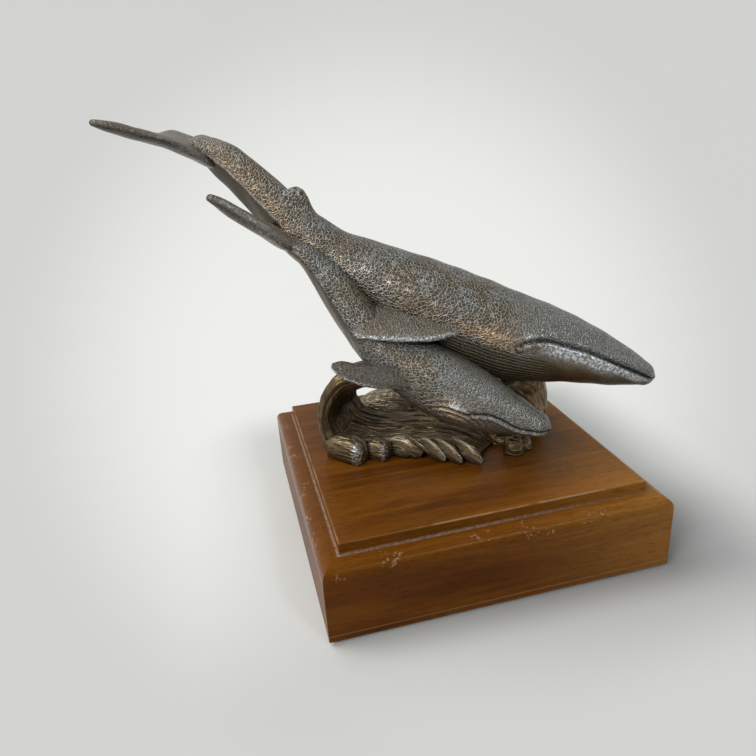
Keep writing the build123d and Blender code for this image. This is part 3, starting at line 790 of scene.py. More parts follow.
def wood(name, look):
    """Stained hardwood: bent bands, fibres and pores along the grain, with dust, wear and gloss.

    All three are noise stretched along the front edge. Dust lies in the step's corner and wear
    on the edges, where the larger of the two distances from the middle and the height come near
    the step's own. The round-over is the strip below the step that shines; its flecks are wear and
    painted highlight. A lighter rim is painted sheen, and the front right is paler by painted
    light.
    """
    material, tree = new_material(name)
    here = node(tree, "ShaderNodeTexCoord").outputs["Object"]
    part = node(tree, "ShaderNodeSeparateXYZ", {"Vector": here}).outputs
    figure = noise(tree, stretched(tree, here, (7.0, 55.0, 48.0), GRAIN_TURN), 1.1, 6.0,
                   Roughness=0.62, Distortion=0.9)
    pores = noise(tree, stretched(tree, here, (230.0, 1700.0, 1700.0), GRAIN_TURN), 1.0, 2.0)
    fibre = noise(tree, stretched(tree, here, (22.0, 380.0, 380.0), GRAIN_TURN), 1.0, 5.0,
                  Roughness=0.65)
    cloud = noise(tree, here, 14.0, 2.0)
    fleck = noise(tree, here, 700.0, 4.0)
    patches = noise(tree, here, 90.0, 2.0)
    outer = sums(tree, "MAXIMUM", sums(tree, "ABSOLUTE", part["X"]),
                 sums(tree, "ABSOLUTE", part["Y"]))
    step_side = (PLINTH_HALF - TIER_INSET) * MM
    step_foot = (TIER_TOP - TIER_HEIGHT) * MM
    # Bands, redder clouds, a lighter rim of painted sheen on the round-over and ledge, redder
    # sides, and painted light that pales the front towards the right
    body = mix(tree, remap(tree, figure, 0.34, 0.66), look.dark_grain, look.light_grain)
    body = mix(tree, remap(tree, cloud, 0.40, 0.75, 0.0, 0.6), body, look.red_grain)
    rim = product(tree, remap(tree, outer, 0.048, 0.070, 0.0, 0.9),
                  remap(tree, part["Z"], step_foot - 0.010, step_foot))
    body = mix(tree, rim, body, look.light_grain)
    body = mix(tree, remap(tree, outer, step_side + 0.0010, step_side + 0.0030, 0.0, 0.30),
               body, look.red_grain)
    right_painted_light = product(tree, remap(tree, part["X"], -0.01, 0.080),
                      remap(tree, part["Y"], 0.07, -0.05, 0.25, 1.0), 0.72)
    body = mix(tree, right_painted_light, body, look.right_painted_light)
    body = mix(tree, 1.0, body, remap(tree, fibre, 0.30, 0.70, 0.82, 1.18), blend="MULTIPLY")
    body = mix(tree, remap(tree, pores, 0.54, 0.68, 0.0, 0.35), body, look.pores)
    # Dust in the step's corner, less towards the right
    from_side = sums(tree, "ABSOLUTE", sums(tree, "SUBTRACT", outer, step_side))
    dusty = product(
        tree, remap(tree, from_side, 0.0013, 0.0004),
        remap(tree, part["Z"], step_foot + 0.0012, step_foot + 0.0002),
        remap(tree, fleck, 0.35, 0.60, 0.20, 0.60),
        remap(tree, part["X"], 0.060, -0.010, 0.25, 1.0),
    )
    body = mix(tree, dusty, body, look.dust)
    # Wear and painted highlight: flecks of wear mixed with a painted speckled highlight on the
    # round-over, the tier's edge, and a thin line near the foot
    rounded = product(tree, remap(tree, outer, step_side + 0.0010, step_side + 0.0035),
                      remap(tree, part["Z"], step_foot - 0.0095, step_foot - 0.0045))
    scuffs_and_sheen = product(tree, rounded, remap(tree, fleck, 0.56, 0.66, 0.0, 0.6),
                     remap(tree, patches, 0.52, 0.64))
    tier_edge = product(tree, remap(tree, outer, step_side - 0.0008, step_side - 0.0002),
                        remap(tree, part["Z"], TIER_TOP * MM - 0.0007, TIER_TOP * MM - 0.0002),
                        remap(tree, patches, 0.40, 0.6, 0.10, 0.55))
    from_foot = sums(tree, "ABSOLUTE", sums(tree, "SUBTRACT", part["Z"], FOOT_LINE))
    worn = sums(tree, "MAXIMUM", tier_edge, remap(tree, from_foot, 0.0005, 0.0001, 0.0, 0.25))
    body = mix(tree, sums(tree, "MAXIMUM", scuffs_and_sheen, worn), body, look.worn_edge_and_sheen)
    gloss = sums(tree, "MULTIPLY_ADD", rounded, -0.13, 0.38)
    raised = node(
        tree, "ShaderNodeBump",
        {"Height": sums(tree, "ADD", product(tree, fleck, 0.00012),
                        product(tree, pores, 0.00006)),
         "Strength": 0.7, "Distance": 1.0},
    ).outputs["Normal"]
    coat(tree, {"Base Color": body, "Roughness": gloss, "Specular IOR Level": 0.20,
                "Specular Tint": (1.0, 0.62, 0.32, 1.0), "Normal": raised})
    return material


def plain_metal(name, colour, roughness):
    """Turned metal with fine noise in its gloss."""
    material, tree = new_material(name)
    here = node(tree, "ShaderNodeTexCoord").outputs["Object"]
    grit = noise(tree, here, 900.0, 3.0)
    shade = mix(tree, grit, colour, tuple(0.72 * part for part in colour))
    rough = remap(tree, grit, 0.2, 0.8, roughness, roughness + 0.15)
    coat(tree, {"Base Color": shade, "Metallic": 1.0, "Roughness": rough})
    return material


def felt(name, colour):
    """Short matte fibres: fine noise in colour and height, with a little sheen."""
    material, tree = new_material(name)
    here = node(tree, "ShaderNodeTexCoord").outputs["Object"]
    fibres = noise(tree, here, 2600.0, 4.0)
    shade = mix(tree, fibres, tuple(0.4 * part for part in colour), colour)
    raised = node(
        tree, "ShaderNodeBump", {"Height": fibres, "Strength": 0.6, "Distance": 0.0004}
    ).outputs["Normal"]
    coat(tree, {"Base Color": shade, "Roughness": 0.95, "Sheen Weight": 0.4,
                "Normal": raised})
    return material


def length(label, words, default):
    """A setting in metres."""
    return bpy.props.FloatProperty(
        name=label, description=words, default=default, min=0.0, unit="LENGTH", precision=5
    )


def strength(label, words, default):
    """A setting of a light's strength."""
    return bpy.props.FloatProperty(name=label, description=words, default=default, min=0.0)


def tint(label, words, default):
    """A colour setting."""
    return bpy.props.FloatVectorProperty(
        name=label, description=words, default=default, size=3, min=0.0, max=1.0,
        subtype="COLOR"
    )


class BronzeLook(bpy.types.PropertyGroup):
    """Dimples and patina of the two whales and the wave."""

    mother_pebble: length("Mother's dimples", "Width of a dimple on the mother", 0.0013)
    mother_head_pebble: length("Head dimples", "Width of a dimple on her head", 0.00095)
    calf_pebble: length("Calf's dimples", "Width of a dimple on the calf", 0.00105)
    patina: tint("Patina", "Worn metal between the dimples", (0.235, 0.198, 0.145))
    grey: tint("Grey wear", "Handled metal on backs and heads", (0.262, 0.266, 0.250))
    copper: tint("Copper wear", "Metal rubbed back to copper", (0.580, 0.410, 0.260))
    pits: tint("Dimples", "Floor of the dimples", (0.052, 0.046, 0.037))
    # Dark grooves, and painted shade under the bellies, tails and flukes, in the wave's hollow and
    # on the tongues' lower halves
    crease_and_shade: tint("Creases", "Dark lines that hold the patina", (0.010, 0.008, 0.006))
    # Rubbed edges and lips, and painted glints and highlights on the jaw, eyes, fin rims, folds
    # and foam
    bright: tint("Bright edges", "Rubbed edges and lips", (0.700, 0.745, 0.790))
    smooth_brown: tint("Smooth brown", "Unpebbled bellies and facets", (0.130, 0.102, 0.060))
    wave_patina: tint("Wave patina", "Raised parts of the wave", (0.222, 0.152, 0.074))
    wave_dark: tint("Wave hollows", "Deep parts of the wave", (0.148, 0.098, 0.045))
    # Rubbed gold; along the tongues' ridges it is also a painted highlight
    wave_gold: tint("Wave highlights", "Rubbed leaves of water", (0.290, 0.235, 0.150))
    wave_pits: tint("Wave grooves", "Bottom of the water's lines", (0.040, 0.027, 0.014))


class WoodLook(bpy.types.PropertyGroup):
    """Colours of the stained plinth."""

    light_grain: tint("Light grain", "Lighter bands of the wood", (0.190, 0.064, 0.005))
    dark_grain: tint("Dark grain", "Darker bands of the wood", (0.078, 0.020, 0.001))
    red_grain: tint("Red grain", "Redder patches of the stain", (0.120, 0.028, 0.001))
    # Painted light: the front grows paler towards the right
    right_painted_light: tint("Sapwood", "Paler wood to the right of the front", (0.360, 0.155, 0.030))
    pores: tint("Pores", "Fine dark pores", (0.022, 0.006, 0.001))
    dust: tint("Dust", "Whitish dust in the corner of the step", (0.520, 0.430, 0.340))
    # Rubbed edges and flecks, and on the round-over a painted speckled highlight
    worn_edge_and_sheen: tint("Worn edges", "Rubbed edges and flecks", (0.480, 0.320, 0.190))
    felt: tint("Felt", "Pad under the plinth", (0.030, 0.045, 0.030))


class StageLook(bpy.types.PropertyGroup):
    """Floor, backdrop and light."""

    floor: tint("Floor", "Outer colour of floor and backdrop", (0.655, 0.655, 0.643))
    # Middle of the painted pool of light
    floor_middle: tint("Floor's middle", "Colour near the object", (0.860, 0.868, 0.835))
    key_power: strength("Overhead light", "Strength of the light from above", 2.4)
    front_power: strength("Front light", "Strength of the light from the front", 1.02)
    window_power: strength("Window light", "Strength of the cool light from the right", 0.42)
    fill: strength("Fill light", "Strength of the even light", 0.13)


def skin(flow, tone, marks):
    """A piece's attributes: its own places in metres, and two sets of three tones.

    The tone is copper, fineness and smoothness. The marks are dark (grooves and painted
    shade), light (rubbed edges and painted glints) and pleated.
    """
    ones = np.ones(flow.shape[:2])
    tone, marks = (
        np.stack(np.broadcast_arrays(*three, ones)[:3], axis=-1) for three in (tone, marks)
    )
    return {"flow": flow * MM, "tone": tone, "marks": marks}


class SCULPT_OT_mother(bpy.types.Operator):
    """Mother whale: body with mouth, eye, throat pleats and flat-sided tail, flukes, back fin"""

    bl_idname = "mesh.sculpt_mother_whale"
    bl_label = "Mother Whale"

    def execute(self, context):
        look = context.scene.bronze_look
        material = bronze(
            "Mother bronze", look, look.mother_pebble, look.mother_head_pebble, MOTHER_STRETCH
        )
        points, flow, along, rise = body_rings(MOTHER_STATIONS, MOTHER, 400, 240)
        length_way, side, above = np.moveaxis(flow, -1, 0)
        normals = outward(points)
        mouth = line_distance(along, rise, MOTHER_MOUTH)
        on_head = ease(along, 39.0, 43.0)
        not_middle = 4.0 * (np.abs(side) < 8.0)
        eye = np.hypot(along - MOTHER_EYE[0], rise - MOTHER_EYE[1]) + not_middle
        corner = np.hypot((along - MOTHER_MOUTH_CORNER[0]) / 1.6,
                          rise - MOTHER_MOUTH_CORNER[1]) + not_middle
        # Relief: mouth between its lips, eye, mouth's corner, back fin and deep belly
        push = 0.35 * ripple(points, 14.0, 3)
        push -= 1.1 * bump(mouth, 0.75) * on_head
        push += 0.45 * bump(mouth + 1.8, 1.2) * on_head
        push += 0.4 * bump(mouth - 1.6, 1.2) * on_head
        push += 0.6 * bump(eye, 1.0) - 0.35 * bump(eye - 1.8, 0.5) + 0.6 * bump(corner, 1.3)
        hump_start = np.interp(60.0, -along[:, 0], length_way[:, 0])
        hump = np.interp(length_way - hump_start, *np.array(HUMP).T, left=0.0, right=0.0)
        push += hump * bump(side, 3.4) * (above > 0.0)
        push += 2.9 * bump(along - 28.0, 17.0) * ease(-above, 6.0, 17.0)
        push *= ease(96.0 - along, 0.0, 3.5)
        points = points + normals * push[..., None]
        # Places: throat, tail, its flat underside, belly and jaw
        throat = ease(-above, 2.0, 4.5) * ease(along, 2.0, 14.0)
        throat = throat * (1.0 - ease(along, 46.0, 58.0))
        throat = throat * np.where(along > 40.0, ease(-mouth, 1.0, 4.0), 1.0)
        tail = 1.0 - ease(along, -60.0, -40.0)
        under = ease(-above, -0.3, 0.5)
        belly = ease(-above, 8.0, 13.0) * ease(along, -20.0, 0.0)
        jaw = ease(-mouth, 0.3, 1.4) * ease(along, 40.0, 50.0)
        # Copper on the lower flank, the tail and a patch behind the eye
        low_flank = np.clip(bump(above + 1.0, 7.0), 0.0, 1.0)
        patch_ahead = along - COPPER_PATCH[0]
        patch = bump(np.hypot(patch_ahead / 3.4, rise - COPPER_PATCH[1] + 0.33 * patch_ahead),
                     3.6)
        copper = low_flank * (0.16 + 0.42 * tail) * (1.0 - ease(along, -10.0, 30.0)) + patch
        copper = np.clip(copper, 0.0, 1.0) * ease(along, -106.0, -90.0)
        fine = ease(along, 30.0, 52.0) + 0.6 * (1.0 - ease(along, -104.0, -80.0))
        smooth = np.clip(0.85 * jaw + belly + 0.7 * throat + under * tail, 0.0, 1.0)
        smooth = smooth * (1.0 - 0.8 * patch)
        # Dark grooves at the mouth and round the eye, and painted shade on the belly and on the
        # tail's flat underside
        creases_and_shade = bump(mouth, 0.55) * on_head + 0.8 * bump(eye - 1.6, 0.45)
        creases_and_shade += 0.25 * belly * (1.0 - tail) + 0.40 * under * tail
        # Rubbed edges and painted glints: the lip's and the tail's rubbed edges, a painted
        # highlight at the mouth's corner, and painted glints on the jaw below the mouth and on the
        # chin
        glint = bump(mouth + 3.4, 2.2) * ease(along, 46.0, 54.0) * (1.0 - ease(along, 70.0, 82.0))
        chin_glint = bump(mouth + 2.6, 1.1) * ease(along, 66.0, 78.0) * (1.0 - ease(along, 87.0, 93.0))
        tail_edge = bump(above + 0.1, 0.45) * tail
        bright = 0.25 * bump(mouth + 1.5, 0.6) * on_head + bump(corner, 1.2) + 0.95 * glint
        bright += 1.3 * chin_glint + 0.75 * tail_edge
        fine, creases_and_shade, bright = (np.clip(part, 0.0, 1.0) for part in (fine, creases_and_shade, bright))
        attributes = skin(flow, (copper, fine, smooth), (creases_and_shade, bright, throat))
        piece = tube_piece("mother_body", points, material, attributes)
        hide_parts("mother_whale")
        make_flukes("mother_flukes", MOTHER, MOTHER_FLUKE_ROOT, MOTHER_FLUKES,
                    MOTHER.lean(0.98, -0.20, 0.0), material)
        for node_name in ("mother_near_flipper", "mother_far_flipper"):
            make_flipper(node_name, material)
        return {"FINISHED"}


def make_flukes(name, heading, root, table, chord_way, material):
    """Flukes as one blade from tip to tip, swept and raised by the table's rows.

    The rows are joined by a smooth curve, evenly stepped along their side and rise. At the root
    the leading edge reaches further and leans down the tail, by a bell round the middle, so
    that the lobes run into the tail.
    """
    rows = smooth_rows([(row[0], row[2], *row) for row in table], 240)[:, 2:]
    side, swept, raised, half_chord, half_thick = rows.T
    centres = heading.place(root[0] + swept, root[1] + raised, side)
    at_root = bump(side, 15.0)
    lead = half_chord * (1.0 + 0.3 * at_root)
    chord_way = chord_way + (heading.lean(0.79, -0.61, 0.0) - chord_way) * at_root[:, None]
    points, fore, height = blade_rings(centres, chord_way, lead, half_chord, half_thick, 96)
    flow = np.stack(np.broadcast_arrays(fore + root[0], side[:, None], height), axis=-1)
    normals = outward(points)
    points = points + normals * (0.25 * ripple(points, 9.0, 8))[..., None]
    rim = ease(np.abs(fore) / half_chord[:, None], 0.82, 1.0)
    at_root = at_root[:, None]
    # Darker away from the root, painted shade on the underside, and the rim above it a rubbed edge
    # with painted glints
    under = ease(centres[:, None, 2] - points[..., 2], 0.2, 1.2) * (1.0 - 0.7 * at_root)
    rubbed = 0.5 * rim * (1.0 - under) * bump(np.abs(side[:, None]) - 14.0, 12.0)
    attributes = skin(
        flow, (0.15 + 0.25 * at_root, 0.5, 0.35),
        (0.15 * (1.0 - at_root) + 0.45 * under, rubbed, 0.0),
    )
    return tube_piece(name, points, material, attributes)


def make_flipper(name, material):
    """A flipper as a blade from inside the body to its rounded tip."""
    heading, root, tip, way, reach, stations = FLIPPERS[name]
    start = heading.place(*(np.array(part, float) for part in root))
    end = heading.place(*(np.array(part, float) for part in tip))
    run = (end - start) / np.linalg.norm(end - start)
    rows = smooth_rows([(row[0], 0.0, *row[1:]) for row in stations], 150)
    share, _, lead, trail, thick = rows.T
    centres = start + run * (share * reach)[:, None]
    points, fore, height = blade_rings(centres, heading.lean(*way), lead, trail, thick, 80)
    flow = np.stack(np.broadcast_arrays((share * reach)[:, None], fore, height), axis=-1)
    normals = outward(points)
    points = points + normals * (0.2 * ripple(points, 7.0, 5))[..., None]
    # The leading rim is a rubbed edge with painted glints, and the rest a little darker
    rim = ease(fore / lead[:, None], 0.75, 1.0)
    attributes = skin(flow, (0.1, 0.4, 0.15), (0.20 * (1.0 - rim), rim, 0.0))
    piece = tube_piece(name + "_cast", points, material, attributes)
    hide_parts(name)
    return piece


class SCULPT_OT_calf(bpy.types.Operator):
    """Calf: body with mouth and eye, flukes and flippers"""

    bl_idname = "mesh.sculpt_calf_whale"
    bl_label = "Calf"

    def execute(self, context):
        look = context.scene.bronze_look
        material = bronze("Calf bronze", look, look.calf_pebble,
                          look.calf_pebble * CALF_HEAD_SHARE, CALF_STRETCH)
        points, flow, along, rise = body_rings(CALF_STATIONS, CALF, 320, 200)
        side, above = flow[..., 1], flow[..., 2]
        normals = outward(points)
        mouth = line_distance(along, rise, CALF_MOUTH)
        on_head = ease(along, 5.5, 8.0)
        # The eye's own axes slope down towards the snout
        eye_ahead = 0.94 * (along - CALF_EYE[0]) - 0.34 * (rise - CALF_EYE[1])
        eye_above = 0.34 * (along - CALF_EYE[0]) + 0.94 * (rise - CALF_EYE[1])
        eye = np.hypot(eye_ahead / 2.6, eye_above) + 4.0 * (np.abs(side) < 6.0)
        folded = bump(np.hypot((eye_ahead + 2.0) / 2.6, eye_above + 3.2), 4.0)
        folded *= ease(np.abs(side), 5.0, 8.0)
        fold = np.cos(2.1 * (eye_above + 0.035 * eye_ahead**2))
        # Relief: mouth and its lip, eye and the folds below it
        push = 0.25 * ripple(points, 10.0, 4)
        push -= 0.8 * bump(mouth, 0.6) * on_head
        push += 0.35 * bump(mouth + 1.5, 1.0) * on_head
        push += 1.9 * bump(eye, 2.0)
        push += folded * (0.2 + 0.6 * fold)
        push *= ease(39.5 - along, 0.0, 2.0)
        points = points + normals * push[..., None]
        tail_facet = (1.0 - ease(along, -50.0, -36.0)) * ease(-above, -0.3, 0.5)
        jaw = ease(-mouth, 0.3, 1.2) * on_head
        belly = ease(-above, 7.5, 12.0) * (1.0 - 0.7 * folded)
        # Dark grooves at the mouth and in the folds' troughs, and painted shade on the tail's flat
        # underside
        creases_and_shade = bump(mouth, 0.45) * on_head + 0.75 * np.clip(-fold, 0.0, 1.0) * folded
        creases_and_shade += 0.40 * tail_facet
        # The lip's rubbed edge, and painted highlights on the eye and on the folds' crests
        bright = 0.3 * bump(mouth + 1.3, 0.5) * on_head + 0.6 * bump(eye, 1.2)
        bright += 0.5 * np.clip(fold, 0.0, 1.0) ** 3 * folded
        copper, smooth, creases_and_shade, bright = (
            np.clip(part, 0.0, 1.0)
            for part in (0.9 * folded, 0.3 * jaw + belly + tail_facet, creases_and_shade, bright)
        )
        attributes = skin(
            flow, (copper, 0.80 * ease(along, -10.0, 12.0), smooth), (creases_and_shade, bright, 0.0)
        )
        piece = tube_piece("calf_body", points, material, attributes)
        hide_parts("calf_whale")
        make_flukes("calf_flukes", CALF, CALF_FLUKE_ROOT, CALF_FLUKES,
                    CALF.lean(0.94, -0.34, 0.0), material)
        for node_name in ("calf_near_flipper", "calf_far_flipper"):
            make_flipper(node_name, material)
        return {"FINISHED"}


class SCULPT_OT_wave(bpy.types.Operator):
    """Breaking wave: curl and trough, rear crest, swells and foam"""

    bl_idname = "mesh.sculpt_breaking_wave"
    bl_label = "Breaking Wave"

    def execute(self, context):
        look = context.scene.bronze_look
        material = bronze("Wave bronze", look, WATER_LINE, WATER_LINE, WATER_STRETCH, water=True)
        curl = self.wall("wave_curl", CURL_SIDES, CURL_OUTSIDE, CURL_HOLLOW, TROUGH, material)
        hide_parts("wave_casting")
        self.wall("wave_rear_crest", CREST_SIDES, CREST_OUTSIDE, CREST_INSIDE, None, material)
        for mound in MOUNDS:
            self.mound(mound, material)
        for index, row in enumerate(TONGUES):
            self.tongue("tongue_%d" % (index + 1), row, material)
        return {"FINISHED"}

    def wall(self, name, sides, outside, inside, floor, material):
        """One hollow wave with grooves that run with the water, square to the side axis.

        The grooves are the low parts of three sine waves summed along that axis, which slower
        sine waves bend. The trough's front edge is drawn back from the viewer.
        """
        rings, depth = wall_rings(sides, outside, inside, floor, 90, 60, 1.8)
        along, rise = rings[..., 0], rings[..., 1] + TIER_TOP
        draw_back = ease(depth, 20.0, 32.0)[:, None] * ease(along, -38.0, -27.0)
        side = depth[:, None] - 6.5 * draw_back * (1.0 - ease(rings[..., 1], 11.0, 16.0))
        points = MOTHER.place(along, rise, side)
        normals = outward(points)
        drift = depth[:, None] + 1.4 * np.sin(along * 0.09 + 0.7) + 0.6 * np.sin(rise * 0.16)
        lines = np.sin(1.37 * drift) + 0.7 * np.sin(2.31 * drift + 1.1 * np.sin(along * 0.05))
        lines += 0.5 * np.sin(3.7 * drift + 0.4)
        groove = np.clip(-lines, 0.0, 2.0) * 0.6
        lifted = ease(rings[..., 1], 0.4, 3.0)
        push = (0.35 * ripple(points, 8.0, 6) - 0.32 * groove) * lifted
        points = points + normals * push[..., None]
        run = np.cumsum(np.linalg.norm(np.diff(rings, axis=1, prepend=rings[:, :1]), axis=-1), 1)
        flow = np.stack([run, side, rings[..., 1] * 0.2], axis=-1)
        # Dark in the grooves, and painted shade inside the curl's hollow
        dark = np.clip(0.22 * groove + self.shade(rings), 0.0, 1.0)
        attributes = skin(flow, (0.0, 0.0, 0.35), (dark, 0.0, 0.0))
        return zip_piece(name, points, material, attributes)

    def shade(self, rings):
        """Painted shade inside the hollow: a bell round its middle, narrower in height."""
        return 0.75 * bump(np.hypot(rings[..., 0] + 31.0, 1.2 * (rings[..., 1] - 20.0)), 15.0)

    def mound(self, row, material):
        """A swell or a block of foam, with grooves along it where a bent sine wave is low."""
        name, along, side, turn, half_length, half_width, height = row
        square, flat, lit, shine = MOUND_KINDS[name.split("_")[0]]
        x, y, z = mound_rings(half_length, half_width, height, 60, 96, square, flat)
        turn = math.radians(turn)
        at_along = along + x * math.cos(turn) - y * math.sin(turn)
        at_side = side + x * math.sin(turn) + y * math.cos(turn)
        points = MOTHER.place(at_along, z + TIER_TOP + 0.02, at_side)
        normals = outward(points)
        lines = np.clip(-np.sin(y * 2.2 + 0.9 * np.sin(x * 0.35)), 0.0, 1.0) ** 1.5
        lifted = ease(z, 0.3, 1.5)
        push = (0.25 * ripple(points, 5.0, 9) - 0.22 * lines) * lifted
        points = points + normals * push[..., None]
        flow = np.stack([x, y, z], axis=-1)
        # Dark in the grooves, and a painted highlight at the mound's far end, strongest on the
        # foam
        end = ease(x, 0.55 * half_length, 0.85 * half_length) * ease(y, 0.0, 0.5 * half_width)
        attributes = skin(flow, (lit, 0.0, 0.35), (0.3 * lines, shine * end, 0.0))
        return tube_piece(name, points, material, attributes)

    def tongue(self, name, row, material):
        """A leaf of water: a blade that swells by a sine from its upper to its lower end."""
        upper, lower, half_width, half_thick = row
        share = np.linspace(0.0, 1.0, 90)
        along, rise, side = (
            first + (last - first) * share for first, last in zip(upper, lower)
        )
        rise = rise + 1.5 * np.sin(math.pi * share)
        centres = MOTHER.place(along, rise + TIER_TOP, side)
        swell = np.sin(math.pi * (0.04 + 0.92 * share)) ** 0.55 * (1.10 - 0.25 * share)
        points, fore, height = blade_rings(
            centres, MOTHER.lean(0.35, 0.80, -0.50), swell * half_width, swell * half_width,
            swell * half_thick, 64
        )
        points[..., 2] = np.maximum(points[..., 2], TIER_TOP + 0.02)
        reach = np.linalg.norm(np.subtract(lower, upper))
        flow = np.stack(np.broadcast_arrays(reach * share[:, None], fore, height), axis=-1)
        # Gold and a painted highlight along the ridge, and painted shade on the lower, nearer half
        ridge = bump(fore / half_width - 0.55, 0.22)
        dark = 0.30 + 0.55 * ease(-fore / half_width, -0.2, 0.6) - 0.3 * ridge
        attributes = skin(flow, (0.75 * ridge, 0.0, 0.3), (dark, 0.10 * ridge, 0.0))
        return tube_piece(name, points, material, attributes)


class FINISH_OT_plinth(bpy.types.Operator):
    """Plinth, felt, screws, washers and pins: finishes for the pieces of the frame"""

    bl_idname = "object.finish_plinth"
    bl_label = "Plinth and Fastenings"

    def execute(self, context):
        look = context.scene.wood_look
        stained = wood("Stained hardwood", look)
        pad = felt("Felt pad", look.felt)
        steel = plain_metal("Plated steel", (0.56, 0.56, 0.57), 0.28)
        brass = plain_metal("Brass pin", (0.72, 0.52, 0.24), 0.30)
        finishes = {
            "wood_plinth": stained,
            "felt_pad": pad,
            "mounting_screws": steel,
            "mounting_washers": steel,
            "mother_dowel_pin": brass,
            "calf_dowel_pin": brass,
        }
        for node_name, material in finishes.items():
            found = [item for item in context.scene.objects
                     if item.type == "MESH" and item.name.startswith(node_name)]
            if not found:
                raise RuntimeError("no piece named " + node_name)
            for item in found:
                item.data.materials.clear()
                item.data.materials.append(material)
        return {"FINISHED"}


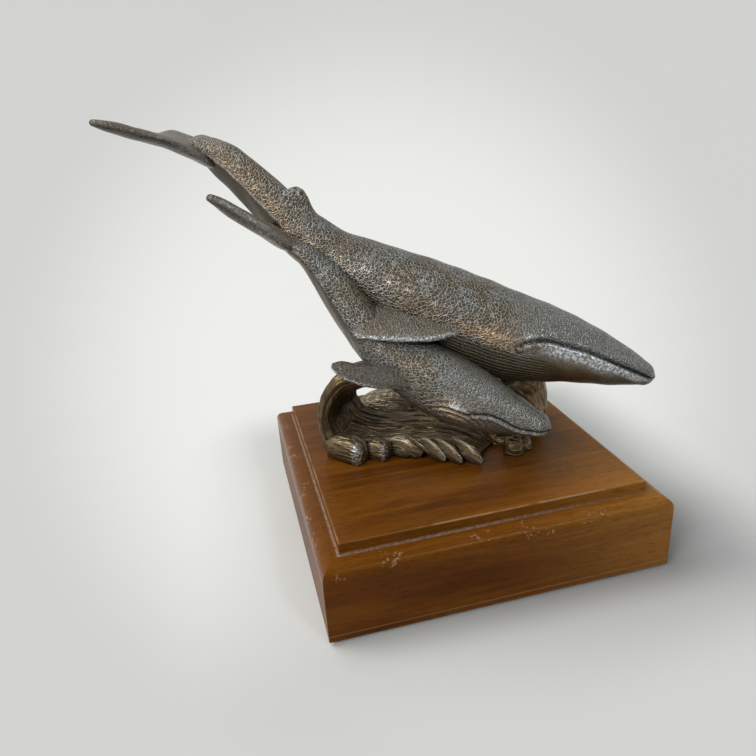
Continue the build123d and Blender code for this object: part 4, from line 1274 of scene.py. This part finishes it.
class STAGE_OT_studio(bpy.types.Operator):
    """Pale floor that rises to a backdrop, three soft suns, even fill and the camera"""

    bl_idname = "object.studio_stage"
    bl_label = "Floor, Light and Camera"

    def execute(self, context):
        look = context.scene.stage_look
        self.floor(look)
        self.suns(look, context.scene)
        self.world(look, context.scene)
        self.camera(context.scene)
        return {"FINISHED"}

    def floor(self, look):
        """A sheet that lies flat and then bends up by a quarter circle behind the object."""
        arc = np.linspace(0.0, 0.5 * math.pi, BEND_STEPS)
        depth = np.concatenate([
            [-FLOOR_FRONT, BEND_START], BEND_START + BEND * np.sin(arc), [BEND_START + BEND]
        ])
        rise = np.concatenate([[0.0, 0.0], BEND * (1.0 - np.cos(arc)), [BACKDROP_TOP]])
        side = np.array([-FLOOR_HALF, 0.0, FLOOR_HALF])
        rows, columns = len(depth), len(side)
        points = np.stack(
            np.broadcast_arrays(side, depth[:, None], rise[:, None]), axis=-1
        ).reshape(-1, 3)
        row, column = np.meshgrid(np.arange(rows - 1), np.arange(columns - 1), indexing="ij")
        first = row * columns + column
        faces = np.stack([first, first + 1, first + columns + 1, first + columns], -1)
        mesh = bpy.data.meshes.new("studio_floor")
        mesh.from_pydata(points.tolist(), [], faces.reshape(-1, 4).tolist())
        mesh.polygons.foreach_set("use_smooth", np.ones(len(mesh.polygons), bool))
        mesh.materials.append(self.paper(look))
        paper = bpy.data.objects.new("studio_floor", mesh)
        bpy.context.scene.collection.objects.link(paper)

    def paper(self, look):
        """Paper in a pool of light: lit near the plinth, where the shadow falls, and even beyond.

        The pool is painted: it is the cosine between the way to each place and the pool's own
        direction. The lit share fades with the distance from a box round the plinth's foot.
        """
        material, tree = new_material("Pale paper")
        here = node(tree, "ShaderNodeTexCoord").outputs["Object"]
        away = vectors(tree, "SUBTRACT", here, POOL_PLACE)["Vector"]
        away = vectors(tree, "NORMALIZE", away)["Vector"]
        cone = vectors(tree, "DOT_PRODUCT", away, POOL_WAY)["Value"]
        # Painted pool of light: pale in the middle, grey beyond
        colour = mix(tree, remap(tree, cone, *POOL_EDGE), look.floor_middle, look.floor)
        across_x = node(tree, "ShaderNodeSeparateXYZ", {"Vector": here}).outputs["X"]
        # Painted shade: the lit floor is painted darker from left to right
        shaded = mix(tree, 1.0, colour, remap(tree, across_x, *SHADOW_SIDE, 1.0, SHADOW_TONE),
                     blend="MULTIPLY")
        lit = node(tree, "ShaderNodeBsdfDiffuse", {"Color": shaded}).outputs["BSDF"]
        glow = node(tree, "ShaderNodeEmission", {"Color": colour}).outputs["Emission"]
        apart = vectors(tree, "SUBTRACT", here, SHADOW_MIDDLE)["Vector"]
        apart = vectors(tree, "ABSOLUTE", apart)["Vector"]
        apart = vectors(tree, "SUBTRACT", apart, SHADOW_HALF)["Vector"]
        apart = vectors(tree, "MAXIMUM", apart, (0.0, 0.0, 0.0))["Vector"]
        apart = vectors(tree, "LENGTH", apart)["Value"]
        share = product(tree, seen_rays(tree),
                        remap(tree, apart, 0.0, SHADOW_FADE, 0.0, GLOW_SHARE))
        surface = node(tree, "ShaderNodeMixShader", {0: share, 1: lit, 2: glow})
        node(tree, "ShaderNodeOutputMaterial", {"Surface": surface.outputs["Shader"]})
        return material

    def suns(self, look, scene):
        """Soft suns, each turned so that its own Z points towards where its light comes from."""
        for name, setting, width, way, colour in SUNS:
            lamp = bpy.data.lights.new(name, "SUN")
            lamp.color = colour
            lamp.angle = width
            lamp.energy = getattr(look, setting)
            sun = bpy.data.objects.new(name, lamp)
            sun.rotation_euler = Vector(way).to_track_quat("Z", "Y").to_euler()
            scene.collection.objects.link(sun)

    def world(self, look, scene):
        """Even pale light, stronger where it is seen or mirrored than where it falls."""
        world = bpy.data.worlds.new("Even light")
        world.use_nodes = True
        tree = world.node_tree
        tree.nodes.clear()
        power = remap(tree, seen_rays(tree), 0.0, 1.0, look.fill, SEEN_WORLD)
        background = node(
            tree, "ShaderNodeBackground", {"Color": (1.0, 1.0, 0.99, 1.0), "Strength": power}
        )
        node(tree, "ShaderNodeOutputWorld", {"Surface": background.outputs["Background"]})
        scene.world = world

    def camera(self, scene):
        """The camera's axes from its yaw, its pitch down and its roll, in that order."""
        forward = Vector((
            math.sin(CAMERA_YAW) * math.cos(CAMERA_PITCH),
            math.cos(CAMERA_YAW) * math.cos(CAMERA_PITCH),
            -math.sin(CAMERA_PITCH),
        ))
        right = Vector((math.cos(CAMERA_YAW), -math.sin(CAMERA_YAW), 0.0))
        up = right.cross(forward)
        right, up = (
            right * math.cos(CAMERA_ROLL) + up * math.sin(CAMERA_ROLL),
            up * math.cos(CAMERA_ROLL) - right * math.sin(CAMERA_ROLL),
        )
        lens = bpy.data.cameras.new("Camera")
        lens.lens = LENS_LENGTH
        lens.sensor_width = SENSOR_WIDTH
        lens.clip_start = 0.01
        view = bpy.data.objects.new("Camera", lens)
        axes = Matrix((right, up, -forward)).transposed().to_4x4()
        view.matrix_world = Matrix.Translation(CAMERA_PLACE) @ axes
        scene.collection.objects.link(view)
        scene.camera = view
        scene.view_settings.view_transform = "Standard"


class VIEW3D_PT_whales(bpy.types.Panel):
    """Sidebar panel that lists the settings and the steps"""

    bl_label = "Bronze Whales"
    bl_idname = "VIEW3D_PT_bronze_whales"
    bl_space_type = "VIEW_3D"
    bl_region_type = "UI"
    bl_category = "Bronze Whales"

    def draw(self, context):
        layout = self.layout
        scene = context.scene
        for settings in (scene.bronze_look, scene.wood_look, scene.stage_look):
            box = layout.box()
            for name in settings.bl_rna.properties.keys():
                if name not in {"rna_type", "name"}:
                    box.prop(settings, name)
        for operator in OPERATORS:
            layout.operator(operator.bl_idname)


OPERATORS = (SCULPT_OT_mother, SCULPT_OT_calf, SCULPT_OT_wave, FINISH_OT_plinth, STAGE_OT_studio)
SETTINGS = {"bronze_look": BronzeLook, "wood_look": WoodLook, "stage_look": StageLook}


def register():
    """Registers the settings, the steps and the panel."""
    for settings in SETTINGS.values():
        bpy.utils.register_class(settings)
    for operator in OPERATORS:
        bpy.utils.register_class(operator)
    bpy.utils.register_class(VIEW3D_PT_whales)
    for name, settings in SETTINGS.items():
        setattr(bpy.types.Scene, name, bpy.props.PointerProperty(type=settings))


def unregister():
    """Undoes what register did."""
    for name in SETTINGS:
        delattr(bpy.types.Scene, name)
    bpy.utils.unregister_class(VIEW3D_PT_whales)
    for operator in reversed(OPERATORS):
        bpy.utils.unregister_class(operator)
    for settings in SETTINGS.values():
        bpy.utils.unregister_class(settings)


def main():
    """Registers the add-on and makes every piece and the stage."""
    register()
    bpy.ops.mesh.sculpt_mother_whale()
    bpy.ops.mesh.sculpt_calf_whale()
    bpy.ops.mesh.sculpt_breaking_wave()
    bpy.ops.object.finish_plinth()
    bpy.ops.object.studio_stage()


if __name__ == "__main__":
    main()
